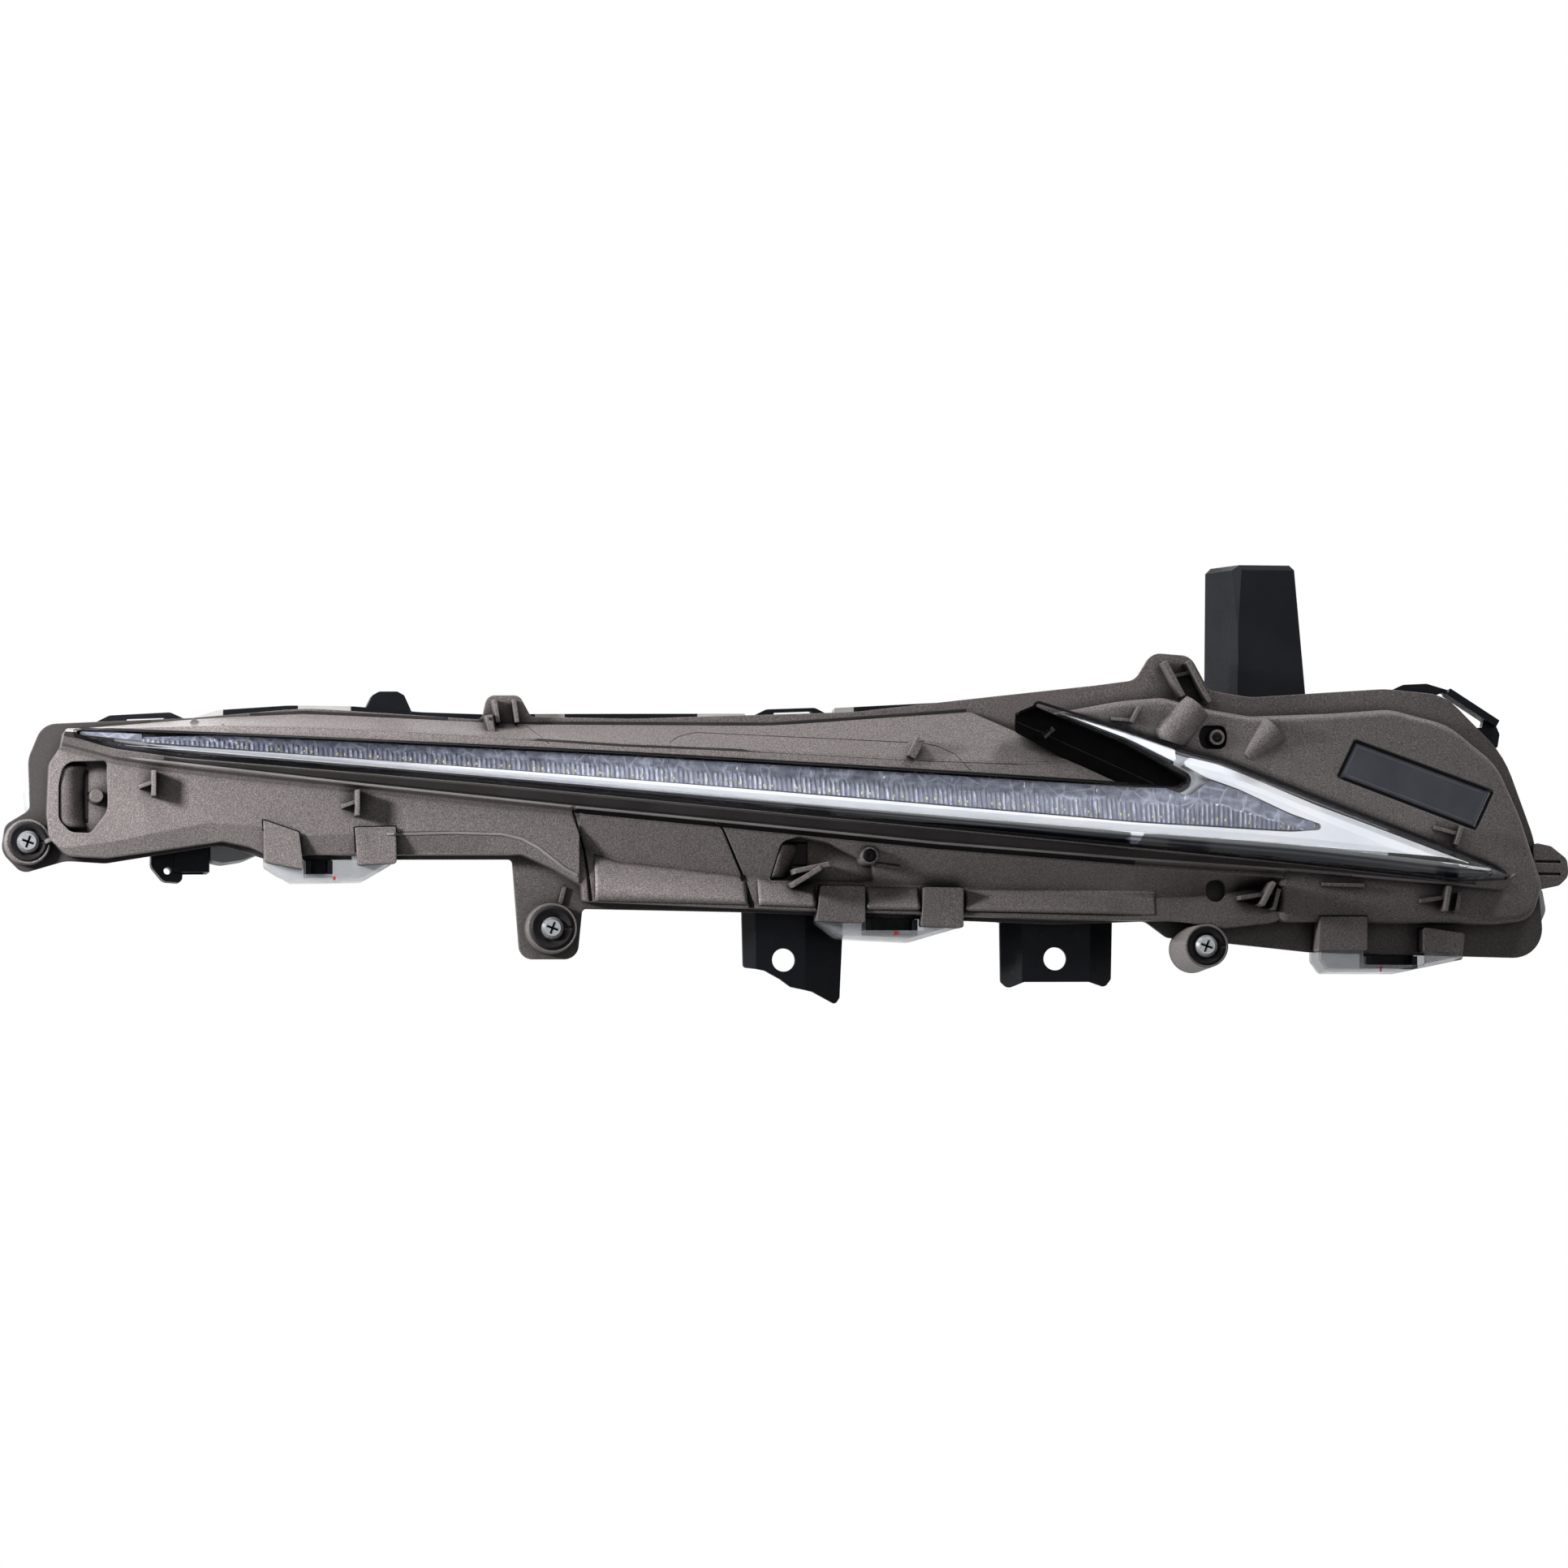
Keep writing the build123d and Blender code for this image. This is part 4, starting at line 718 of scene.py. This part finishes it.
def fluted_column(x):
    z = line_at(MIDDLE, x)
    z0, z1 = edge_of(guide, x, z, -1), edge_of(guide, x, z, 1)
    reach = RISE * min(1.0, max(0.0, (x - RISE_FROM) / RISE_IN), max(0.0, (RISE_TO - x) / RISE_OUT))
    number = math.floor(x / FLUTE)
    phase = x / FLUTE - number
    jitter = math.sin(number * SCATTER) * 0.5 + 0.5
    column, shares = [], []
    for j in range(ROWS):
        share = j / (ROWS - 1)
        height = z0 + (z1 + reach - z0) * share
        place = front_of(guide, x, min(max(height, z0 + 0.0001), z1 - 0.0001))
        if place is None:
            place = front_of(guide, x, (z0 + z1) / 2)
        if x > HEAD_FROM:
            share = share if height < line_at(HEAD_CUT, x) else max(share, 0.70)
        depth = max(0.12, min(1.0, 1.0 - (share - FACETS_FROM - 0.1 * jitter) * 6))
        relief = math.sin(math.pi * phase) ** 0.7 * FLUTE_DEPTH * depth
        relief += RIPPLE * math.sin(share * 9 + number * 1.7) * (0.4 + jitter)
        column.append(Vector((x, place.y - 0.0001 - max(relief, 0.0), height)))
        shares.append(min(share, 0.84) if x > HEAD_FROM else share)
    return column, shares


def fluted_guide():
    """Replaces the CAD guide. Returns its columns of front points."""
    end_depth = front_of(guide, END_DEPTH_AT, line_at(MIDDLE, END_DEPTH_AT)).y
    columns, shares = [], []
    for i in range(COLUMNS):
        x = GUIDE_LEFT + GUIDE_LENGTH * i / (COLUMNS - 1)
        if x < SMOOTH_END:
            column, heights = smooth_column(x, end_depth)
        elif front_of(guide, x, line_at(MIDDLE, x)) is None:
            continue
        else:
            column, heights = fluted_column(x)
        columns.append(column)
        shares.extend(heights)
    optic = piece("optic_flutes", *sheet_of(columns, 0.004), OPTIC, "optic_clear")
    write_share(optic, shares)
    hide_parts("fluted_optic")
    return columns


def yellow_spots(columns):
    """Pairs of small spots low on the guide, where the light sources shine through."""
    first_source, pitch, pair = -0.236, 0.014, 0.0034
    sides = ((0, 1, 3, 2), (4, 6, 7, 5), (0, 4, 5, 1), (2, 3, 7, 6), (0, 2, 6, 4), (1, 5, 7, 3))
    points, faces = [], []
    for k in range(33):
        for step in (0.0, pair):
            spot_x = first_source + pitch * k + step
            column = min(columns, key=lambda c: abs(c[0].x - spot_x))
            near = column[3] + Vector((0, -0.00012, 0.0002))
            first = len(points)
            points += [near + Vector((dx, dy, dz)) for dx in (-0.00035, 0.00035) for dy in (0, 0.0004)
                       for dz in (-0.0006, 0.0006)]
            faces += [tuple(first + q for q in side) for side in sides]
    piece("optic_spots", points, faces, YELLOW_SPOT, "led_yellow")


yellow_spots(fluted_guide())

# Sheet over the lower wall of the lens, from its crest to its lower edge, with painted reflections and
# shade
CREST = [(-0.307, 0.0926), (-0.261, 0.0891), (-0.127, 0.0769), (0.017, 0.0644), (0.149, 0.0539),
         (0.217, 0.0492), (0.306, 0.0400)]
LOWER = [(-0.307, 0.0950), (-0.290, 0.0914), (-0.261, 0.0871), (-0.127, 0.0752), (0.0172, 0.0610),
         (0.149, 0.0486), (0.2195, 0.0427), (0.2918, 0.0356), (0.3156, 0.0368)]
WALL_LEFT, WALL_LENGTH = -0.284, 0.590
WALL_COLUMNS, WALL_ROWS = 300, 12
WALL_DEPTH_LIMIT = 0.012  # a column that runs off the wall reaches further in depth


def lens_wall_sheet_with_painted_light():
    columns = []
    for i in range(WALL_COLUMNS + 1):
        x = WALL_LEFT + WALL_LENGTH * i / WALL_COLUMNS
        low_z, high_z = line_at(LOWER, x) + 0.0004, line_at(CREST, x) + 0.0002
        column = [front_of(lens, x, low_z + (high_z - low_z) * j / WALL_ROWS) for j in range(WALL_ROWS + 1)]
        if None in column:
            continue
        column = raised(column, 0.00012)
        if depth_range(column) < WALL_DEPTH_LIMIT:
            columns.append(column)
    wall = piece("lens_lower_wall", *sheet_of(columns, SKIN), WALL, "gloss_black", True)
    write_share(wall, [j / WALL_ROWS for _ in columns for j in range(WALL_ROWS + 1)])


lens_wall_sheet_with_painted_light()

# Gaps, hairlines and small ribs of the cover, and lines of painted shade and painted highlight on it, in mm
PANEL_GAPS = [[(-93.2, 64.0), (-92.8, 62.4), (-87.2, 46.4), (-84.6, 23)],
              [(-31.1, 57.4), (-28.8, 54.9), (-19.6, 35.8)]]
HAIRLINES = [[(-112.3, 100.3), (-103.6, 91.6)],
             [(-53.0, 89.2), (-51.9, 92.3), (-47.5, 95.4), (-39.7, 97.3), (-25.1, 96.6), (57.5, 92.8),
              (64.0, 91.4), (70.9, 88.0), (77.2, 80.7)]]
FOLD = [(-172, 53.0), (-143.2, 53.6), (-123.2, 53.0), (-114.6, 51.0), (-107.6, 47.2), (-95.5, 37.8),
        (-89.5, 34.6)]
RIM_GROOVE = [(-296, 101.2), (-281, 102.2), (-249, 104.9), (-206, 106.6), (-160, 104.3), (-111, 101.8),
              (-6.8, 101.5), (40, 104.9), (78, 107.9)]
CREASE = [(-304, 98.6), (-250, 100.4), (-228, 99.8), (-198.3, 98.6), (-164.5, 97.3), (-126.9, 94.6),
          (-71.5, 90.9), (-26, 89.2), (18.4, 87.1), (51.8, 85.3), (96.8, 84.0), (111.3, 84.4)]
RIDGE = [(-282, 85.5), (-182, 73.6), (-93, 64.0), (-9, 55.9), (63, 48.9), (149, 42.6), (221, 38.2),
         (300, 32.4)]
RIDGE_LIGHT = [(x, z + 0.5) for x, z in RIDGE]
RIDGE_GROOVE = [(x, z - 1.0) for x, z in RIDGE[2:6]]

strips("panel_gaps", cover, PANEL_GAPS, 0.9, 0.00005, SHADOW, "gloss_black")
strips("panel_gap_wide", cover, [[(-19.6, 35.8), (-15.4, 20.5)]], 2.0, 0.00005, SHADOW, "gloss_black")
strips("hairlines", cover, HAIRLINES, 0.32, 0.00003, LINE, "bronze_paint")
# the fold bead stands a little proud and is coloured pale: a painted highlight along the fold
strips("fold_bead", cover, [FOLD], 1.1, 0.0004, BEAD, "bronze_paint", depth=0.0006)
strips("boss_rib", cover, [[(-95.2, 31.0), (-97.2, 23.6)]], 1.9, 0.0016, PAINT, "bronze_paint",
       depth=0.0017, step=0.8)
# painted shade: dark lines under the rim and along the crease above the lens
strips("rim_groove_shade", cover, [RIM_GROOVE], 1.3, 0.00004, DARK_PAINT, "bronze_paint")
strips("upper_crease_shade", cover, [CREASE], 1.1, 0.00003, DARK_PAINT, "bronze_paint")
# painted highlight along the ridge, and painted shade in a line just under it
strips("ridge_painted_highlight", cover, [RIDGE_LIGHT], 1.0, 0.0002, BEAD, "bronze_paint", depth=0.0003)
strips("ridge_groove_shade", cover, [RIDGE_GROOVE], 1.7, 0.00005, SHADOW, "gloss_black")

# Lip of the cover between the lens and the ridge, in the shade of the lens
LIP_LEFT, LIP_LENGTH = -0.270, 0.570
LIP_COLUMNS, LIP_ROWS = 199, 6
LIP_DEPTH_LIMIT = 0.009  # a column that runs off the lip reaches further in depth


def shaded_lip():
    ridge = [(x * MM, z * MM) for x, z in RIDGE]
    columns = []
    for i in range(LIP_COLUMNS + 1):
        x = LIP_LEFT + LIP_LENGTH * i / LIP_COLUMNS
        low_z, high_z = line_at(ridge, x) + 0.0012, line_at(LOWER, x) - 0.0016
        column = [front_of(cover, x, low_z + (high_z - low_z) * j / LIP_ROWS) for j in range(LIP_ROWS + 1)]
        if None not in column and depth_range(column) < LIP_DEPTH_LIMIT:
            columns.append(raised(column, 0.00005))
    piece("lens_lip", *sheet_of(columns, SKIN), DARK_PAINT, "bronze_paint", True)


shaded_lip()

# Lower strip of the cover, in mm: its face leans back, so it catches the light, and it takes the lighter
# copy of the paint, which is painted light
STRIP_TOP = [(-86.2, 46.2), (-72.6, 41.8), (-17.0, 35.1), (-6.9, 34.1), (33.4, 31.1), (108.3, 30.3),
             (165, 29.8)]
STRIP_FOOT = [(-86, 24.6), (-19.0, 22.9), (34.1, 21.0), (109.2, 19.9), (151.9, 19.2)]
STRIP_PARTS = ((-83.2, -18.0), (-13.2, 11.2), (33.4, 56.6), (76.2, 160.0))
STRIP_ROWS = 8
STRIP_SWELL = 2.6
STRIP_OFF_SEAT = 0.0055
STRIP_END, STRIP_FADE = STRIP_FOOT[-1][0] + 8, 22  # it sinks into the cover over this length
STRIP_DEPTH_LIMIT = 0.014


def leaning_column(x):
    """Front points of the strip at x, up to the first height at which the cover isn't met."""
    top, foot = line_at(STRIP_TOP, x), line_at(STRIP_FOOT, x)
    seat = seat_at(x * MM)
    fade = min(1.0, (STRIP_END - x) / STRIP_FADE)
    column = []
    for j in range(STRIP_ROWS + 1):
        u = j / STRIP_ROWS
        z = foot + (top - foot) * u
        place = front_of(cover, x * MM, z * MM)
        if place is None:
            break
        swell = STRIP_SWELL * fade * (1 - u) * min(1.0, u * 8 + 0.25)
        y = min(place.y, seat - STRIP_OFF_SEAT * fade) - swell * MM - 0.00005
        column.append(Vector((x * MM, y, z * MM)))
    return column


for part, (x0, x1) in enumerate(STRIP_PARTS):
    count = max(2, round((x1 - x0) / 1.5))
    columns = [leaning_column(x0 + (x1 - x0) * i / count) for i in range(count + 1)]
    columns = [c for c in columns if len(c) == STRIP_ROWS + 1 and depth_range(c) < STRIP_DEPTH_LIMIT]
    piece(f"lower_strip_{part + 1}", *sheet_of(columns, 0.0006), PAINT_WITH_PAINTED_LIGHT, "bronze_paint", True)

# Gaps round the tabs, painted shade in the cups of the screw posts, ends of the pegs and screw recesses, in
# mm
TAB_LINES = [
    [(-207.2, 38.5), (-209.2, 54.2), (-225.0, 59.7), (-224.2, 42.0)],
    [(-167.8, 41.0), (-168.1, 56.6), (-186.1, 56.2), (-184.7, 40.4)],
    [(33.0, 16.0), (33.0, 31.4), (13.0, 31.6), (11.2, 16.6)],
    [(75.5, 14.0), (75.5, 30.9), (57.5, 31.1), (56.4, 14.6)],
    [(252.3, 5.2), (252.4, 19.6), (230.6, 19.4), (229.8, 5.2)],
    [(296.0, 4.8), (296.8, 12.8), (277.4, 15.4), (277.3, 5.0)],
]
POST_PLACES = [(-324.3, 50.8), (-101.0, 12.9), (177.0, 4.9)]
POST_RADII = [9.6, 10.6, 9.3]
CUP_INNER, CUP_WALL = 5.0, 0.9
CROSS_HALF = 2.6
CROSS_TURNS = (70, 160)
PEG_PLACES = [(34.0, 44.0), (185.6, 96.2)]

strips("tab_gaps", cover, TAB_LINES, 0.55, 0.00004, SHADOW, "gloss_black", step=1.0)
rings("cup_shade_rings", POST_PLACES, [CUP_INNER] * 3, [r - CUP_WALL for r in POST_RADII], CUP, "bronze_paint")
rings("peg_ends", PEG_PLACES, [0.05, 0.05], [2.9, 2.2], SHADOW, "gloss_black")
crosses = []
for x, z in POST_PLACES:
    for turn in CROSS_TURNS:
        dx, dz = math.cos(math.radians(turn)) * CROSS_HALF, math.sin(math.radians(turn)) * CROSS_HALF
        crosses.append([(x - dx, z - dz), (x + dx, z + dz)])
strips("screw_crosses", screw, crosses, 0.9, 0.00005, SHADOW, "zinc_screw", step=0.4)

# Border of the dark rectangle with its painted glint, and the painted highlights in the trough, in mm
FRAME = [(246.8, 96.5), (309.8, 74.7), (301.3, 56.9), (238.4, 79.4)]
TROUGH_CREASE = [(97.9, 102.1), (112, 95.9), (140, 83.6), (157.7, 75.7)]
RIGHT_SIDE = inset(FRAME, 1.7)[1:3]

strips("window_border", glass, [loop(inset(FRAME, 0.95))], 1.3, 0.00004, SHADOW, "gloss_black", step=3)
strips("window_line", glass, [loop(inset(FRAME, 2.9))], 0.35, 0.00004, GLINT_DARK, "gloss_black", step=3)
strips("window_glint", glass, [RIGHT_SIDE], 0.5, 0.00007, GLINT, "bright_silver", step=2)
# pale line along the fold in the trough, and the pale face of its tab: painted highlights
strips("trough_crease_highlight", shade, [TROUGH_CREASE], 0.3, 0.00004, LINE, "black_plastic")
strips("trough_tab", shade, [[(109.4, 95.6), (113.9, 99.4)]], 2.2, 0.0001, BEAD, "black_plastic", step=0.8)

# Round bulges that fall into the two open pockets, in mm
BULGE_FOOT = 5.2
BULGE_ACROSS, BULGE_UP = 14, 22
END_ROUND, END_DROP = 3.0, 2.0


def bulge(name, left_edge, z0, z1, reach, crown, power):
    columns = []
    for i in range(BULGE_ACROSS + 1):
        u = i / BULGE_ACROSS
        column = []
        for j in range(BULGE_UP + 1):
            z = z0 + (z1 - z0) * j / BULGE_UP
            x = left_edge(z) + reach * u
            height = BULGE_FOOT + (crown(z) - BULGE_FOOT) * (1 - u ** power)
            ends = min(1.0, min(z - z0, z1 - z) / END_ROUND)
            height -= (1 - math.sqrt(max(0.0, 1 - (1 - ends) ** 2))) * END_DROP
            column.append(Vector((x * MM, seat_at(x * MM) - height * MM, z * MM)))
        columns.append(column)
    piece(name, *sheet_of(columns, 0.0015), PAINT, "bronze_paint", True)


def left_edge_of_left_pocket(z):
    """Straight in the middle, rounded above and below."""
    over = max(0.0, z - 79.0, 61.5 - z)
    return -311.2 + 0.15 * over * over / 1.6


def left_edge_of_middle_pocket(z):
    return -7.2 + (z - 34.2) * 0.26


bulge("pocket_bulge_left", left_edge_of_left_pocket, 56.0, 84.2, 10.5, lambda z: 13.6, 2.0)
bulge("pocket_bulge_middle", left_edge_of_middle_pocket, 34.4, 49.5, 8.0,
      lambda z: 8.6 + (z - 34) * 0.40, 2.2)

# Shaded floors beside the bulges: left, right, low and high, in mm
POCKET_FLOORS = (("pocket_floor_left", -300.6, -298.6, 59.0, 82.0),
                 ("pocket_floor_middle", 1.5, 9.0, 40.0, 50.5))
FLOOR_ACROSS, FLOOR_UP = 8, 12
for name, left, right, low, high in POCKET_FLOORS:
    columns = []
    for i in range(FLOOR_ACROSS + 1):
        x = left + (right - left) * i / FLOOR_ACROSS
        heights = [low + (high - low) * j / FLOOR_UP for j in range(FLOOR_UP + 1)]
        column = [front_of(cover, x * MM, z * MM) for z in heights]
        if None not in column:
            columns.append(raised(column, 0.00006))
    piece(name, *sheet_of(columns, SKIN), DARK_PAINT, "bronze_paint", True)

# Red ticks on the clear trays: middle, width and height, in mm
TICKS = (("snap_tray_left", -194.0, 34.4, 1.0, 1.5), ("snap_tray_middle", 46.4, 11.0, 1.8, 1.5),
         ("snap_tray_right", 258.8, -3.2, 0.7, 2.4))
points, faces = [], []
for name, x, z, width, height in TICKS:
    tray = tree_of(name)
    columns = [[front_of(tray, (x + dx) * MM, (z + dz) * MM) for dz in (-height / 2, height / 2)]
               for dx in (-width / 2, width / 2)]
    if all(None not in column for column in columns):
        add_sheet(points, faces, [raised(column, 0.00005) for column in columns], SKIN)
piece("tray_ticks", points, faces, RED, "frosted_tray")

# Lamps: place, size and power
CENTRE = Vector((0.0, 0.0, 0.07))
LAMPS = (("left", (-0.76, -0.29, 0.24), (0.12, 0.12), 6.0),
         ("upper left", (-0.52, -0.30, 1.00), (0.30, 0.22), 4.7),
         ("upper right", (0.72, -0.30, 1.25), (0.45, 0.30), 7.7),
         ("rear", (0.0, 2.2, 1.2), (1.6, 0.8), 22))
for name, place, size, power in LAMPS:
    data = bpy.data.lights.new(name, "AREA")
    data.shape = "RECTANGLE"
    data.size, data.size_y = size
    data.energy = power
    lamp = bpy.data.objects.new(name, data)
    scene.collection.objects.link(lamp)
    lamp.location = place
    lamp.rotation_mode = "QUATERNION"
    lamp.rotation_quaternion = (CENTRE - lamp.location).to_track_quat("-Z", "Y")

# Camera at the photograph's viewing angle
AIM = Vector((-1.034, -11.301, 75.526)) * MM
DISTANCE = 4.0
AZIMUTH, ELEVATION = math.radians(-7), math.radians(-3.5)
away = Vector((math.sin(AZIMUTH) * math.cos(ELEVATION), -math.cos(AZIMUTH) * math.cos(ELEVATION),
               math.sin(ELEVATION)))
camera_data = bpy.data.cameras.new("camera")
camera_data.sensor_width = 36
camera_data.lens = 212.95
camera_data.clip_end = 200
camera = bpy.data.objects.new("camera", camera_data)
scene.collection.objects.link(camera)
camera.location = AIM + away * DISTANCE
camera.rotation_mode = "QUATERNION"
camera.rotation_quaternion = (-away).to_track_quat("-Z", "Y")
scene.camera = camera

low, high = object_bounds()
